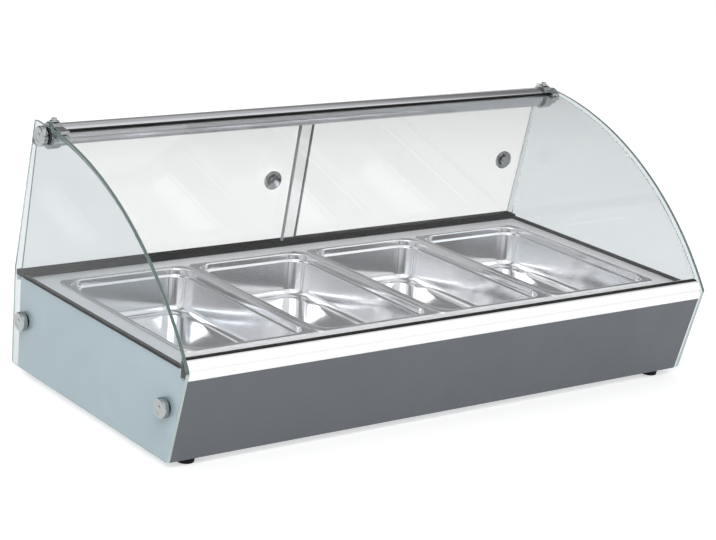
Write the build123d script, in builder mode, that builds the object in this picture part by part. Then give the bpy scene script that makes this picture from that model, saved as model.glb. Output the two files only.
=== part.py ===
from build123d import *
import os
from math import atan2, cos, degrees, hypot, radians, sin, sqrt

os.makedirs("parts", exist_ok=True)

# Heated display case for a counter, in millimetres.
# X runs along the case, -Y is the customer's side, +Y the server's side, Z = 0 is the counter.

# Overall size
half_length = 720.0
half_depth = 360.0
end_glass_thick = 8.0
cap_reach = 734.0
foot_height = 15.0
deck_top = 225.0
sheet = 1.5
casing_half = 710.0

# Side outline, as (Y, Z) points
curve_centre = (306.0, -200.0)
curve_radius = 790.0
front_knee = (-half_depth, 225.0)
front_toe = (-306.0, 17.0)
rear_heel = (half_depth, 17.0)
rear_knee = (half_depth, 240.0)
rear_top = (292.0, 590.0)

# Slanted front panel and the rail on it
front_bottom_y = -302.0
front_top_y = -353.0
rail_bottom = 205.0
rail_top = 245.0
rail_rear_y = -328.0
rail_nose_y = -341.0
rail_wall = 2.0

# Rear
rear_panel_y = 340.0
ledge_y = 358.0

# Food pans, gastronorm 1/1
pan_count = 4
pan_pitch = 330.0
pan_length = 530.0
pan_width = 325.0
pan_depth = 100.0
pan_wall = 1.0
pan_y = 8.0
rim_height = 3.0
body_length = 505.0
body_width = 300.0
body_corner = 48.0
shoulder_drop = 16.0
shoulder_step = 3.0
pan_taper = 4.0

# Deck opening and well
opening_half_x = 650.0
opening_half_y = 257.0
lip_drop = 15.0
bar_width = 24.0
well_floor = 60.0
well_gap = 2.5
heater_z = 85.0
heater_radius = 4.0

# Top tube, which is also the hinge of the front glass
tube_y = 248.0
tube_z = 565.0
tube_radius = 25.0
tube_wall = 2.0
running_gap = 0.05
collar_radius = 30.0
collar_thick = 22.0
collar_outer_x = 708.0

# Front glass
front_glass_thick = 6.0
front_glass_radius = 784.0
front_glass_half = 709.0
front_glass_foot = 247.3
front_glass_end_y = 221.0

# Rear doors, which lean nearly as the rear edge of the end glasses does
door_thick = 5.0
door_bottom = 229.0
door_top = 544.0
door_datum_z = 235.0
inner_door_y = 328.0
outer_door_y = 348.0
inner_door_head_y = 280.0
lean = (inner_door_y - inner_door_head_y) / (door_top - door_datum_z)
lean_angle = degrees(atan2(lean, 1.0))
door_outer_x = 704.0
door_inner_x = 24.0
slot_width = 6.6
bottom_track_height = 12.0
top_track_height = 14.0
top_track_low = 534.0
knob_z = 388.0
left_knob_x = -59.0
right_knob_x = 642.0

# Fixing points of the end glasses, as (Y, Z)
fixings = [(tube_y, tube_z), (310.0, 130.0), (-286.0, 130.0)]
stud_radius = 5.0
cap_radius = 22.0
glass_hole_radius = 6.5

# Feet
foot_x = 655.0
foot_rows = (-275.0, 300.0)

# Controls on the rear panel
control_z = 150.0
dial_x = -500.0
switch_x = -435.0
lamp_x = -385.0
gland_x = -640.0
gland_z = 55.0

# Screws of the rear panel, as (X, Z): into the end panels and into the floor tray
end_screws = [(x, z) for x in (-700, 700) for z in (80, 180)]
tray_screws = [(x, 27) for x in (-560, -190, 190, 560)]
screw_radius = 2.0
screw_hole = 2.1


def front_face_y(z):
    """Y of the outer face of the slanted front panel at height z."""
    share = (z - foot_height) / (rail_bottom - foot_height)
    return front_bottom_y + share * (front_top_y - front_bottom_y)


def front_inner_y(z):
    """Y of the inner face of the slanted front panel at height z."""
    run = front_top_y - front_bottom_y
    rise = rail_bottom - foot_height
    return front_face_y(z) + sheet * hypot(run, rise) / rise


def door_line_y(datum_y, z):
    """Y of a door's middle plane at height z, for a door that is at datum_y low down."""
    return datum_y - lean * (z - door_datum_z)


def curve_z(radius, y):
    """Height of the curve of this radius, round the centre of the side outline, at y."""
    return curve_centre[1] + sqrt(radius**2 - (y - curve_centre[0]) ** 2)


def curve_point(radius, y):
    """Point of the curve of this radius at y, as (Y, Z)."""
    return (y, curve_z(radius, y))


def foot_y(radius):
    """Y where the curve of this radius comes down to the foot of the front glass."""
    rise = front_glass_foot - curve_centre[1]
    return curve_centre[0] - sqrt(radius**2 - rise**2)


def slice_yz(x):
    """Plane square to X, with Y as its first direction and Z as its second."""
    return Plane.YZ.offset(x)


# Base casing

# Floor tray: a folded sheet with a flange on every side
with BuildPart() as base_tray:
    flange = 22.0
    low = foot_height
    high = foot_height + flange
    with BuildSketch(slice_yz(-casing_half + sheet)):
        with BuildLine():
            Polyline(
                (front_inner_y(high), high),
                (front_inner_y(low), low),
                (rear_panel_y - sheet, low),
                (rear_panel_y - sheet, high),
                (rear_panel_y - 2 * sheet, high),
                (rear_panel_y - 2 * sheet, low + sheet),
                (front_inner_y(low) + 2 * sheet, low + sheet),
                (front_inner_y(high) + sheet, high),
                close=True,
            )
        make_face()
    extrude(amount=2 * (casing_half - sheet))
    for x in (-casing_half + 1.5 * sheet, casing_half - 1.5 * sheet):
        with Locations((x, 20, low + sheet + flange / 2 - 2)):
            Box(sheet, 600, flange - 4)
    with Locations(*[(sx * foot_x, y, low) for sx in (-1, 1) for y in foot_rows]):
        Hole(radius=3.2)
    with Locations(*[(x, rear_panel_y, z) for x, z in tray_screws]):
        Cylinder(screw_hole, 20, rotation=(90, 0, 0), mode=Mode.SUBTRACT)
base_tray.part.label = "base_tray"
export_step(base_tray.part, "parts/base_tray.step")

# Front panel: slanted sheet with a flange along its top that carries the rail
with BuildPart() as front_panel:
    with BuildSketch(slice_yz(-casing_half)):
        with BuildLine():
            Polyline(
                (front_bottom_y, foot_height),
                (front_top_y, rail_bottom),
                (rail_rear_y - 4, rail_bottom),
                (rail_rear_y - 4, rail_bottom - sheet),
                (front_inner_y(rail_bottom - sheet), rail_bottom - sheet),
                (front_inner_y(foot_height), foot_height),
                close=True,
            )
        make_face()
    extrude(amount=2 * casing_half)
front_panel.part.label = "front_panel"
export_step(front_panel.part, "parts/front_panel.step")


def end_panel(side):
    """End of the casing, behind an end glass, with a flange for the rear panel's screws."""
    with BuildPart() as panel:
        low_x = casing_half - sheet if side > 0 else -casing_half
        with BuildSketch(slice_yz(low_x)):
            with BuildLine():
                Polyline(
                    (rear_panel_y - sheet, foot_height),
                    (rear_panel_y - sheet, deck_top - sheet),
                    (rail_rear_y, deck_top - sheet),
                    (rail_rear_y, rail_bottom - sheet),
                    (front_inner_y(rail_bottom - sheet), rail_bottom - sheet),
                    (front_inner_y(foot_height), foot_height),
                    close=True,
                )
            make_face()
        extrude(amount=sheet)
        flange_x = side * (casing_half - sheet - 9)
        with Locations((flange_x, rear_panel_y - 1.5 * sheet, 130)):
            Box(18, sheet, 150)
        with Locations(*[(side * casing_half, y, z) for y, z in fixings[1:]]):
            Cylinder(stud_radius + 0.3, 20, rotation=(0, 90, 0), mode=Mode.SUBTRACT)
        with Locations(*[(x, rear_panel_y, z) for x, z in end_screws if x * side > 0]):
            Cylinder(screw_hole, 20, rotation=(90, 0, 0), mode=Mode.SUBTRACT)
    return panel.part


for side, word in ((-1, "left"), (1, "right")):
    piece = end_panel(side)
    piece.label = f"end_panel_{word}"
    export_step(piece, f"parts/end_panel_{word}.step")

# Rear panel: flat sheet with vents, and openings for the controls and the lead
vent_rows = 7
vent_length = 70.0
vent_pitch = 12.0
with BuildPart() as rear_panel:
    with BuildSketch(Plane.XZ.offset(-rear_panel_y)):
        with Locations((0, (foot_height + deck_top - sheet) / 2)):
            Rectangle(2 * casing_half, deck_top - sheet - foot_height)
        for vent_x in (-180, 0, 180, 360, 540):
            with Locations((vent_x, 120)):
                with GridLocations(0, vent_pitch, 1, vent_rows):
                    SlotOverall(vent_length, 5, mode=Mode.SUBTRACT)
        with Locations((dial_x, control_z)):
            Circle(5.2, mode=Mode.SUBTRACT)
        with Locations((switch_x, control_z)):
            Rectangle(20, 30, mode=Mode.SUBTRACT)
        with Locations((lamp_x, control_z)):
            Circle(6.2, mode=Mode.SUBTRACT)
        with Locations((gland_x, gland_z)):
            Circle(8.2, mode=Mode.SUBTRACT)
        with Locations(*end_screws, *tray_screws):
            Circle(screw_hole, mode=Mode.SUBTRACT)
    extrude(amount=sheet)
rear_panel.part.label = "rear_panel"
export_step(rear_panel.part, "parts/rear_panel.step")

# Deck: top sheet with the pan opening, its lips, the tabs for the bars and the rear ledge
bar_places = [(i - pan_count / 2) * pan_pitch for i in range(1, pan_count)]
with BuildPart() as deck:
    deck_depth = ledge_y - rail_rear_y
    deck_middle = (ledge_y + rail_rear_y) / 2
    with BuildSketch(Plane.XY.offset(deck_top - sheet)):
        with Locations((0, deck_middle)):
            Rectangle(2 * casing_half, deck_depth)
        with Locations((0, pan_y)):
            RectangleRounded(2 * opening_half_x, 2 * opening_half_y, 12, mode=Mode.SUBTRACT)
    extrude(amount=sheet)
    with BuildSketch(Plane.XY.offset(deck_top - sheet)):
        with Locations((0, pan_y)):
            RectangleRounded(2 * (opening_half_x + sheet), 2 * (opening_half_y + sheet), 13.5)
            RectangleRounded(2 * opening_half_x, 2 * opening_half_y, 12, mode=Mode.SUBTRACT)
    extrude(amount=-lip_drop)
    with Locations((0, ledge_y - sheet / 2, deck_top - sheet - 6)):
        Box(2 * casing_half, sheet, 12)
    with Locations((0, rail_rear_y + sheet / 2, deck_top - sheet - 8)):
        Box(2 * casing_half - 6, sheet, 16)
    for x in (-casing_half + 1.5 * sheet, casing_half - 1.5 * sheet):
        with Locations((x, 0, deck_top - sheet - 8)):
            Box(sheet, 620, 16)
    tab_rows = (pan_y - opening_half_y + 5, pan_y + opening_half_y - 5)
    with Locations(*[(x, y, deck_top - 2.75) for x in bar_places for y in tab_rows]):
        Box(bar_width, 10, sheet)
deck.part.label = "deck"
export_step(deck.part, "parts/deck.step")

# Polished rail: hollow section with a rounded nose, on top of the front panel
with BuildPart() as front_rail:
    with BuildSketch(slice_yz(-casing_half)):
        with BuildLine():
            Polyline(
                (front_top_y, rail_bottom),
                (rail_rear_y, rail_bottom),
                (rail_rear_y, rail_top),
                (rail_nose_y, rail_top),
            )
            ThreePointArc((rail_nose_y, rail_top), (-354.7, 227.3), (front_top_y, rail_bottom))
        make_face()
        offset(amount=-rail_wall, kind=Kind.INTERSECTION, mode=Mode.SUBTRACT)
    extrude(amount=2 * casing_half)
front_rail.part.label = "front_rail"
export_step(front_rail.part, "parts/front_rail.step")

# Gasket that the front glass stands on
with BuildPart() as front_rail_gasket:
    with Locations((0, -334, rail_top + 1)):
        Box(2 * casing_half, 11, 2)
    fillet(front_rail_gasket.edges().filter_by(Axis.X).group_by(Axis.Z)[-1], radius=0.8)
front_rail_gasket.part.label = "front_rail_gasket"
export_step(front_rail_gasket.part, "parts/front_rail_gasket.step")

# Seals between the deck and the end glasses
seal_rear_y = 322.0
seal_height = 7.0
for side, word in ((-1, "left"), (1, "right")):
    with BuildPart() as seal:
        inner_face = half_length - end_glass_thick
        seal_place = (side * (inner_face - 4.5), (rail_rear_y + seal_rear_y) / 2, deck_top + seal_height / 2)
        with Locations(seal_place):
            Box(9, seal_rear_y - rail_rear_y, seal_height)
        fillet(seal.edges().filter_by(Axis.Y).group_by(Axis.Z)[-1], radius=1.5)
    seal.part.label = f"deck_side_seal_{word}"
    export_step(seal.part, f"parts/deck_side_seal_{word}.step")

# Well under the pans

# Liner: open box of thin sheet that hangs from the deck by its flange
liner_half_x = opening_half_x + well_gap
liner_half_y = opening_half_y + well_gap
liner_top = deck_top - sheet
heater_exits = (80.0, 560.0)
bulb_z = 108.0
with BuildPart() as well_liner:
    with BuildSketch(Plane.XY.offset(well_floor)):
        with Locations((0, pan_y)):
            RectangleRounded(2 * (liner_half_x + 1), 2 * (liner_half_y + 1), 14)
    extrude(amount=liner_top - well_floor)
    with BuildSketch(Plane.XY.offset(well_floor + 1)):
        with Locations((0, pan_y)):
            RectangleRounded(2 * liner_half_x, 2 * liner_half_y, 13)
    extrude(amount=liner_top - well_floor, mode=Mode.SUBTRACT)
    with BuildSketch(Plane.XY.offset(liner_top - 1)):
        with Locations((0, pan_y)):
            RectangleRounded(2 * (liner_half_x + 13), 2 * (liner_half_y + 13), 16)
            RectangleRounded(2 * liner_half_x, 2 * liner_half_y, 13, mode=Mode.SUBTRACT)
    extrude(amount=1)
    with Locations(*[(s * x, pan_y + liner_half_y, heater_z) for s in (-1, 1) for x in heater_exits]):
        Cylinder(heater_radius + 0.5, 20, rotation=(90, 0, 0), mode=Mode.SUBTRACT)
    with Locations((-540, pan_y + liner_half_y, bulb_z)):
        Cylinder(2, 20, rotation=(90, 0, 0), mode=Mode.SUBTRACT)
well_liner.part.label = "well_liner"
export_step(well_liner.part, "parts/well_liner.step")

# Insulation round and under the liner
with BuildPart() as well_insulation:
    wool_half_x = liner_half_x + 12
    wool_half_y = liner_half_y + 11
    wool_low = foot_height + sheet
    wool_high = 205.0
    with Locations((0, pan_y, (wool_low + wool_high) / 2)):
        Box(2 * wool_half_x, 2 * wool_half_y, wool_high - wool_low)
    with BuildSketch(Plane.XY.offset(well_floor)):
        with Locations((0, pan_y)):
            RectangleRounded(2 * (liner_half_x + 1), 2 * (liner_half_y + 1), 14)
    extrude(amount=wool_high - well_floor, mode=Mode.SUBTRACT)
    with Locations(*[(s * x, pan_y + wool_half_y, heater_z) for s in (-1, 1) for x in heater_exits]):
        Cylinder(heater_radius + 0.5, 40, rotation=(90, 0, 0), mode=Mode.SUBTRACT)
    with Locations((-540, pan_y + wool_half_y, bulb_z)):
        Cylinder(2, 40, rotation=(90, 0, 0), mode=Mode.SUBTRACT)
well_insulation.part.label = "well_insulation"
export_step(well_insulation.part, "parts/well_insulation.step")

# Tubular heating elements, each one tube in a flat serpentine with both ends out at the rear
bend_radius = 30.0
for side, word in ((-1, "left"), (1, "right")):
    columns = [side * x for x in (80, 240, 400, 560)]
    near_y = -190.0
    far_y = 210.0
    exit_y = 300.0
    with BuildPart() as element:
        with BuildLine() as serpentine:
            FilletPolyline(
                (columns[0], exit_y, heater_z),
                (columns[0], near_y, heater_z),
                (columns[1], near_y, heater_z),
                (columns[1], far_y, heater_z),
                (columns[2], far_y, heater_z),
                (columns[2], near_y, heater_z),
                (columns[3], near_y, heater_z),
                (columns[3], exit_y, heater_z),
                radius=bend_radius,
            )
        with BuildSketch(Plane(origin=serpentine.line @ 0, z_dir=serpentine.line % 0)):
            Circle(heater_radius)
        sweep()
        for x in (columns[0], columns[3]):
            with Locations((x, exit_y + 6, heater_z)):
                Cylinder(2, 14, rotation=(90, 0, 0))
    element.part.label = f"heating_element_{word}"
    export_step(element.part, f"parts/heating_element_{word}.step")

# Rests for the elements, standing on the floor of the liner
with BuildPart() as element_brackets:
    rest_height = heater_z - heater_radius - well_floor - 1
    rest_places = [(s * 320, y, well_floor + 1 + rest_height / 2) for s in (-1, 1) for y in (-120, 140)]
    with Locations(*rest_places):
        Box(540, 2, rest_height)
element_brackets.part.label = "element_brackets"
export_step(element_brackets.part, "parts/element_brackets.step")

# Bars between the pans, resting on the tabs of the deck
for number, x in enumerate(bar_places, start=1):
    with BuildPart() as bar:
        with Locations((x, pan_y, deck_top - 1)):
            Box(bar_width, 2 * opening_half_y - 0.6, 2)
        with Locations((x, pan_y, deck_top - 9)):
            Box(3, 2 * opening_half_y - 26, 16)
    bar.part.label = f"pan_support_bar_{number}"
    export_step(bar.part, f"parts/pan_support_bar_{number}.step")


def food_pan(x):
    """Deep-drawn pan: rim with a turned-down edge, a shoulder and tapered walls."""
    rim_top = deck_top + rim_height
    with BuildPart() as pan:
        with BuildSketch(Plane(origin=(x, pan_y, rim_top), z_dir=(0, 0, -1))):
            RectangleRounded(body_width, body_length, body_corner)
        extrude(amount=shoulder_drop)
        lower = Plane(origin=(x, pan_y, rim_top - shoulder_drop), z_dir=(0, 0, -1))
        with BuildSketch(lower):
            RectangleRounded(
                body_width - 2 * shoulder_step,
                body_length - 2 * shoulder_step,
                body_corner - shoulder_step,
            )
        extrude(amount=pan_depth - shoulder_drop, taper=pan_taper)
        fillet(pan.faces().sort_by(Axis.Z)[0].edges(), radius=16)
        offset(amount=-pan_wall, openings=pan.faces().sort_by(Axis.Z)[-1])
        with BuildSketch(Plane.XY.offset(rim_top - pan_wall)):
            with Locations((x, pan_y)):
                RectangleRounded(pan_width, pan_length, 20)
                RectangleRounded(
                    body_width - 2 * pan_wall,
                    body_length - 2 * pan_wall,
                    body_corner - pan_wall,
                    mode=Mode.SUBTRACT,
                )
        extrude(amount=pan_wall)
        with BuildSketch(Plane.XY.offset(deck_top)):
            with Locations((x, pan_y)):
                RectangleRounded(pan_width, pan_length, 20)
                RectangleRounded(pan_width - 2, pan_length - 2, 19, mode=Mode.SUBTRACT)
        extrude(amount=rim_height)
        fillet(pan.edges().group_by(Axis.Z)[-1].sort_by(SortBy.LENGTH)[-4:], radius=0.7)
    return pan.part


for number in range(1, pan_count + 1):
    piece = food_pan((number - (pan_count + 1) / 2) * pan_pitch)
    piece.label = f"pan_{number}"
    export_step(piece, f"parts/pan_{number}.step")

# End glasses and what holds them


def end_glass(low_x):
    """Thick glass cut to the whole side outline, with a hole at each fixing."""
    with BuildPart() as glass:
        with BuildSketch(slice_yz(low_x)) as outline:
            middle = (curve_centre[0] - 380, curve_z(curve_radius, curve_centre[0] - 380))
            with BuildLine():
                Polyline(rear_top, rear_knee, rear_heel, front_toe, front_knee)
                ThreePointArc(front_knee, middle, rear_top)
            make_face()
            fillet(outline.vertices().sort_by(Axis.Y)[-1], radius=12)
            fillet(outline.vertices().sort_by(Axis.Y)[:2], radius=5)
            with Locations(*fixings):
                Circle(glass_hole_radius, mode=Mode.SUBTRACT)
        extrude(amount=end_glass_thick)
        faces = glass.faces().filter_by(Axis.X)
        chamfer(faces.edges().filter_by(GeomType.CIRCLE, reverse=True), length=0.8)
    return glass.part


for low_x, word in ((-half_length, "left"), (half_length - end_glass_thick, "right")):
    piece = end_glass(low_x)
    piece.label = f"end_glass_{word}"
    export_step(piece, f"parts/end_glass_{word}.step")


def at_fixings(inner_x, outer_x):
    """Middles, on both ends, of pieces that reach from inner_x to outer_x at every fixing."""
    middle = (inner_x + outer_x) / 2
    return [(side * middle, y, z) for side in (-1, 1) for y, z in fixings]


inner_face = half_length - end_glass_thick
outer_washer = 1.0

# Polished round caps, one at each fixing
with BuildPart() as glass_fixing_caps:
    low = half_length + outer_washer
    for side in (-1, 1):
        for y, z in fixings:
            with BuildSketch(Plane(origin=(side * low, y, z), z_dir=(side, 0, 0))):
                Circle(cap_radius)
            extrude(amount=cap_reach - low)
    rims = glass_fixing_caps.edges().filter_by(GeomType.CIRCLE).group_by(Axis.X)
    fillet(rims[0] + rims[-1], radius=3)
    with Locations(*at_fixings(low, low + 9)):
        Cylinder(stud_radius + running_gap, 9, rotation=(0, 90, 0), mode=Mode.SUBTRACT)
glass_fixing_caps.part.label = "glass_fixing_caps"
export_step(glass_fixing_caps.part, "parts/glass_fixing_caps.step")

# Studs that join the caps to the casing and to the plugs of the tube
with BuildPart() as glass_fixing_studs:
    with Locations(*at_fixings(694, half_length + 9)):
        Cylinder(stud_radius, half_length + 9 - 694, rotation=(0, 90, 0))
glass_fixing_studs.part.label = "glass_fixing_studs"
export_step(glass_fixing_studs.part, "parts/glass_fixing_studs.step")

# Nuts on the studs, inside the casing
nut_thick = 6.0
with BuildPart() as glass_fixing_nuts:
    for side in (-1, 1):
        for y, z in fixings[1:]:
            with BuildSketch(Plane(origin=(side * (casing_half - sheet), y, z), z_dir=(-side, 0, 0))):
                RegularPolygon(9.5, 6)
                Circle(stud_radius + running_gap, mode=Mode.SUBTRACT)
            extrude(amount=nut_thick)
glass_fixing_nuts.part.label = "glass_fixing_nuts"
export_step(glass_fixing_nuts.part, "parts/glass_fixing_nuts.step")

# Rubber washers on both faces of each end glass
with BuildPart() as glass_washers:
    with Locations(*at_fixings(casing_half, inner_face)):
        Cylinder(15, inner_face - casing_half, rotation=(0, 90, 0))
    with Locations(*at_fixings(half_length, half_length + outer_washer)):
        Cylinder(cap_radius - 1, outer_washer, rotation=(0, 90, 0))
    with Locations(*at_fixings(casing_half - 5, half_length + 5)):
        Cylinder(glass_hole_radius, half_length - casing_half + 10, rotation=(0, 90, 0), mode=Mode.SUBTRACT)
glass_washers.part.label = "glass_washers"
export_step(glass_washers.part, "parts/glass_washers.step")

# Top tube, its plugs, and the top track that hangs from it

with BuildPart() as top_tube:
    with Locations((0, tube_y, tube_z)):
        Cylinder(tube_radius, 2 * casing_half, rotation=(0, 90, 0))
        Cylinder(tube_radius - tube_wall, 2 * casing_half, rotation=(0, 90, 0), mode=Mode.SUBTRACT)
top_tube.part.label = "top_tube"
export_step(top_tube.part, "parts/top_tube.step")

plug_length = 25.0
with BuildPart() as tube_end_plugs:
    plug_x = casing_half - plug_length / 2
    with Locations((-plug_x, tube_y, tube_z), (plug_x, tube_y, tube_z)):
        Cylinder(tube_radius - tube_wall - running_gap, plug_length, rotation=(0, 90, 0))
        Cylinder(stud_radius + running_gap, plug_length, rotation=(0, 90, 0), mode=Mode.SUBTRACT)
tube_end_plugs.part.label = "tube_end_plugs"
export_step(tube_end_plugs.part, "parts/tube_end_plugs.step")

track_end_x = inner_face - 0.3


def door_section(datum_y, low_z, high_z, thick):
    """Leaning section of a door, a strip on it or a slot for it, as corner points."""
    reach = thick / 2 / cos(radians(lean_angle))
    low_y = door_line_y(datum_y, low_z)
    high_y = door_line_y(datum_y, high_z)
    return [
        (low_y - reach, low_z),
        (low_y + reach, low_z),
        (high_y + reach, high_z),
        (high_y - reach, high_z),
    ]


with BuildPart() as top_door_track:
    top_track_high = top_track_low + top_track_height
    front_y = door_line_y(inner_door_y, top_track_low) - slot_width / 2 - 2
    back_y = door_line_y(outer_door_y, top_track_low) + slot_width / 2 + 2
    drift = lean * top_track_height
    with BuildSketch(slice_yz(-track_end_x)):
        with BuildLine():
            Polyline(
                (front_y, top_track_low),
                (back_y, top_track_low),
                (back_y - drift, top_track_high),
                (front_y - drift, top_track_high),
                close=True,
            )
        make_face()
        for datum_y in (inner_door_y, outer_door_y):
            with BuildLine():
                Polyline(*door_section(datum_y, top_track_low - 1, door_top + 1.5, slot_width), close=True)
            make_face(mode=Mode.SUBTRACT)
    extrude(amount=2 * track_end_x)
top_door_track.part.label = "top_door_track"
export_step(top_door_track.part, "parts/top_door_track.step")

# Hanger that joins the top track to the back of the tube, and ends clear of the hinge collars
hanger_half = 684.0
with BuildPart() as top_track_hanger:
    with BuildSketch(slice_yz(-hanger_half)):
        with BuildLine():
            Polyline(
                (tube_y + 10, top_track_high),
                (tube_y + 46, top_track_high),
                (tube_y + 27, tube_z + 1),
                (tube_y + 10, tube_z + 1),
                close=True,
            )
        make_face()
        with Locations((tube_y, tube_z)):
            Circle(tube_radius + running_gap, mode=Mode.SUBTRACT)
    extrude(amount=2 * hanger_half)
top_track_hanger.part.label = "top_track_hanger"
export_step(top_track_hanger.part, "parts/top_track_hanger.step")

# Bottom track on the rear ledge, with its stops
track_front_y = seal_rear_y
slot_floor = door_bottom - 0.3
with BuildPart() as bottom_door_track:
    with BuildSketch(slice_yz(-track_end_x)):
        with Locations(((track_front_y + ledge_y) / 2, deck_top + bottom_track_height / 2)):
            Rectangle(ledge_y - track_front_y, bottom_track_height)
        for datum_y in (inner_door_y, outer_door_y):
            with BuildLine():
                slot_top = deck_top + bottom_track_height + 1
                Polyline(*door_section(datum_y, slot_floor, slot_top, slot_width), close=True)
            make_face(mode=Mode.SUBTRACT)
    extrude(amount=2 * track_end_x)
bottom_door_track.part.label = "bottom_door_track"
export_step(bottom_door_track.part, "parts/bottom_door_track.step")

travel_stop_x = 695.0
with BuildPart() as door_stops:
    stop_top = deck_top + bottom_track_height - 2
    stops = [
        (outer_door_y, -track_end_x, -door_outer_x - 0.3),
        (outer_door_y, travel_stop_x, track_end_x),
        (inner_door_y, door_outer_x + 0.3, track_end_x),
        (inner_door_y, -track_end_x, -travel_stop_x),
    ]
    for datum_y, low_x, high_x in stops:
        with BuildSketch(slice_yz(low_x)):
            with BuildLine():
                Polyline(*door_section(datum_y, slot_floor, stop_top, slot_width), close=True)
            make_face()
        extrude(amount=high_x - low_x)
door_stops.part.label = "door_stops"
export_step(door_stops.part, "parts/door_stops.step")

# Rear doors: glass, edge strip and knob
doors = [
    ("left", outer_door_y, -door_outer_x, door_inner_x, left_knob_x),
    ("right", inner_door_y, -door_inner_x, door_outer_x, right_knob_x),
]
for word, datum_y, low_x, high_x, knob_x in doors:
    if word == "left":
        glass_low, glass_high, strip_low = low_x, high_x - 1, high_x - 1
    else:
        glass_low, glass_high, strip_low = low_x + 1, high_x, low_x - 3
    knob_plane = Plane(
        origin=(knob_x, door_line_y(datum_y, knob_z), knob_z),
        x_dir=(1, 0, 0),
        z_dir=(0, cos(radians(lean_angle)), sin(radians(lean_angle))),
    )
    with BuildPart() as door:
        with BuildSketch(slice_yz(glass_low)):
            with BuildLine():
                Polyline(*door_section(datum_y, door_bottom, door_top, door_thick), close=True)
            make_face()
        extrude(amount=glass_high - glass_low)
        with BuildSketch(knob_plane.offset(-10)):
            Circle(4.5)
        extrude(amount=20, mode=Mode.SUBTRACT)
    door.part.label = f"door_{word}"
    export_step(door.part, f"parts/door_{word}.step")

    with BuildPart() as strip:
        strip_z = (deck_top + bottom_track_height + 2, top_track_low - 2)
        with BuildSketch(slice_yz(strip_low)):
            with BuildLine():
                Polyline(*door_section(datum_y, *strip_z, 6.2), close=True)
            make_face()
        extrude(amount=4)
    strip.part.label = f"door_{word}_edge_strip"
    export_step(strip.part, f"parts/door_{word}_edge_strip.step")

    with BuildPart() as knob:
        with BuildSketch(knob_plane.offset(-door_thick / 2 - 1.5)):
            Circle(15)
        extrude(amount=1.5)
        with BuildSketch(knob_plane.offset(-door_thick / 2)):
            Circle(4)
        extrude(amount=door_thick)
        with BuildSketch(knob_plane.offset(door_thick / 2)):
            Circle(11)
        extrude(amount=3.5)
        with BuildSketch(knob_plane.offset(door_thick / 2 + 3.5)):
            Circle(23)
        extrude(amount=8)
        fillet(knob.edges().filter_by(GeomType.CIRCLE).sort_by(Axis.Y)[-1], radius=3)
    knob.part.label = f"door_{word}_knob"
    export_step(knob.part, f"parts/door_{word}_knob.step")

# Front glass and its hinge collars

with BuildPart() as front_glass:
    inner_radius = front_glass_radius - front_glass_thick
    outer_foot = (foot_y(front_glass_radius), front_glass_foot)
    inner_foot = (foot_y(inner_radius), front_glass_foot)
    outer_end = curve_point(front_glass_radius, front_glass_end_y)
    inner_end = curve_point(inner_radius, front_glass_end_y)
    with BuildSketch(slice_yz(-front_glass_half)):
        with BuildLine():
            ThreePointArc(outer_foot, curve_point(front_glass_radius, -100), outer_end)
            Line(outer_end, inner_end)
            ThreePointArc(inner_end, curve_point(inner_radius, -100), inner_foot)
            Line(inner_foot, outer_foot)
        make_face()
    extrude(amount=2 * front_glass_half)
front_glass.part.label = "front_glass"
export_step(front_glass.part, "parts/front_glass.step")

# Soft strip on the top edge of the front glass, which closes the gap to the tube between the collars.
# The angles are round the tube, from the server's side.
strip_half = collar_outer_x - collar_thick - 0.5
strip_inner = tube_radius + 0.4
strip_outer = strip_inner + 3
wrap_top = 145.0
wrap_foot = 160.0
wrap_middle = (wrap_top + wrap_foot) / 2
with BuildPart() as front_glass_top_seal:
    with BuildSketch(slice_yz(-strip_half)):
        with BuildLine():
            wrap = [
                (tube_y + radius * cos(radians(angle)), tube_z + radius * sin(radians(angle)))
                for radius, angle in (
                    (strip_inner, wrap_top),
                    (strip_inner, wrap_middle),
                    (strip_inner, wrap_foot),
                    (strip_outer, wrap_foot),
                    (strip_outer, wrap_middle),
                    (strip_outer, wrap_top),
                )
            ]
            ThreePointArc(*wrap[:3])
            Line(wrap[2], wrap[3])
            ThreePointArc(*wrap[3:])
            Line(wrap[5], wrap[0])
        make_face()
        with BuildLine():
            grip_front_y = front_glass_end_y - 4
            grip_rear_y = front_glass_end_y + 3
            Polyline(
                curve_point(inner_radius - 1.5, grip_front_y),
                curve_point(front_glass_radius + 1.5, grip_front_y),
                curve_point(front_glass_radius + 1.5, grip_rear_y),
                curve_point(inner_radius - 1.5, grip_rear_y),
                close=True,
            )
        make_face()
        with Locations((tube_y, tube_z)):
            Circle(strip_inner, mode=Mode.SUBTRACT)
        with BuildLine():
            slot_front_y = grip_front_y - 2
            slot_rear_y = front_glass_end_y + 0.05
            Polyline(
                curve_point(inner_radius - 0.05, slot_front_y),
                curve_point(front_glass_radius + 0.05, slot_front_y),
                curve_point(front_glass_radius + 0.05, slot_rear_y),
                curve_point(inner_radius - 0.05, slot_rear_y),
                close=True,
            )
        make_face(mode=Mode.SUBTRACT)
    extrude(amount=2 * strip_half)
front_glass_top_seal.part.label = "front_glass_top_seal"
export_step(front_glass_top_seal.part, "parts/front_glass_top_seal.step")


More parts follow.
